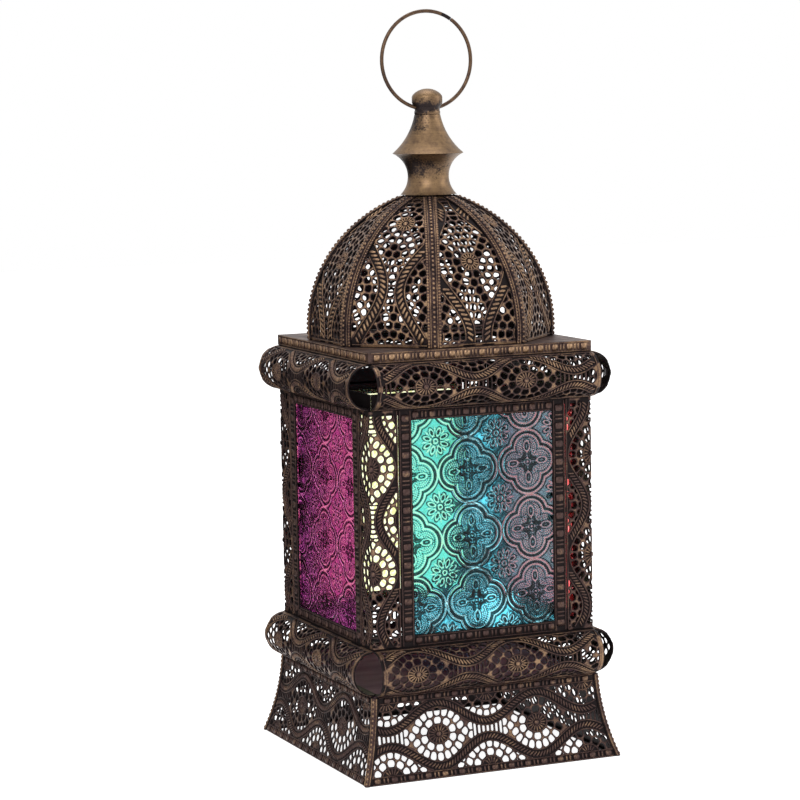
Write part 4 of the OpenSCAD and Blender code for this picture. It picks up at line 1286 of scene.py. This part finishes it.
floor_half, floor_z = 4, -0.0002  # metres, as is all in the studio
lamps = (("lamp_front_left", (-0.9, -1.3, 1.1), 0.9, 16.0),
         ("lamp_right", (1.3, -0.6, 0.7), 0.8, 6.0),
         ("lamp_above", (0.1, 0.3, 1.6), 0.9, 9.0))
lamp_aim = Vector((0, 0, 0.2))
scene = bpy.context.scene
scene.view_settings.view_transform = "Standard"


def background_rays(tree):
    """1 for rays from the camera, off a mirror or through glass, which see a white background."""
    path = add_node(tree, "ShaderNodeLightPath", out=None)
    seen = path.outputs["Is Camera Ray"]
    for kind in ("Is Glossy Ray", "Is Transmission Ray"):
        seen = add_node(tree, "ShaderNodeMath", {0: seen, 1: path.outputs[kind]},
                        operation="MAXIMUM")
    return seen


def stage_piece(name, points, faces, material):
    mesh = bpy.data.meshes.new(name.replace("_", " "))
    mesh.from_pydata(points, [], faces)
    mesh.materials.append(material)
    piece = bpy.data.objects.new(name, mesh)
    scene.collection.objects.link(piece)
    return piece


paper, tree = new_material("white paper floor")
glow = add_node(tree, "ShaderNodeMath", {0: background_rays(tree), 1: 0.9}, operation="MULTIPLY")
feed(tree.nodes["Principled BSDF"],
     {"Base Color": (0.8, 0.8, 0.8, 1), "Roughness": 0.8, "Specular IOR Level": 0.1,
      "Emission Color": (1, 1, 1, 1), "Emission Strength": glow})
stage_piece("studio_floor", [(x * floor_half, y * floor_half, floor_z)
                             for x, y in ((-1, -1), (1, -1), (1, 1), (-1, 1))],
            [(0, 1, 2, 3)], paper)

# A dark card behind on the left, seen in mirror images alone, keeps the left pane from going
# grey. It stands up from the floor and runs forward along it.
felt, tree = new_material("brown felt")
feed(tree.nodes["Principled BSDF"], {"Base Color": linear("#4a3a30"), "Roughness": 1.0})
card = stage_piece("dark_card", [(-0.96, 0.56, 0), (0.0, 0.98, 0), (0.0, 0.98, 0.34),
                                 (-0.96, 0.56, 0.34), (0.05, 0.25, 0.0003),
                                 (-0.55, 0.08, 0.0003)], [(0, 1, 2, 3), (0, 5, 4, 1)], felt)
for rays in ("camera", "diffuse", "transmission", "shadow"):
    setattr(card, f"visible_{rays}", False)

world = bpy.data.worlds.new("white studio")
scene.world = world
world.use_nodes = True
strength = add_node(world.node_tree, "ShaderNodeMapRange",
                    {"Value": background_rays(world.node_tree), 1: 0.0, 2: 1.0, 3: 0.45, 4: 1.0})
feed(world.node_tree.nodes["Background"], {"Color": (1, 1, 1, 1), "Strength": strength})

for name, place, size, power in lamps:
    lamp = bpy.data.lights.new(name, "AREA")
    lamp.size = size
    lamp.energy = power
    holder = bpy.data.objects.new(name, lamp)
    holder.location = place
    holder.rotation_euler = (lamp_aim - Vector(place)).to_track_quat("-Z", "Y").to_euler()
    scene.collection.objects.link(holder)

camera = bpy.data.objects.new("camera", bpy.data.cameras.new("camera"))
scene.collection.objects.link(camera)
camera.data.sensor_width = 36.0
camera.data.lens = 125.46
camera.data.clip_end = 50
camera_spot = (-0.6148, -1.3697, 0.3607)
ahead = Vector((0.3963, 0.9111, -0.1132)).normalized()
level = Vector((0.917, -0.399, 0)).normalized()
upward = level.cross(ahead).normalized()
roll = math.radians(-1.02)
across = math.cos(roll) * level + math.sin(roll) * upward
upward = -math.sin(roll) * level + math.cos(roll) * upward
camera.matrix_world = Matrix([*zip(across, upward, -ahead, camera_spot), (0, 0, 0, 1)])
scene.camera = camera
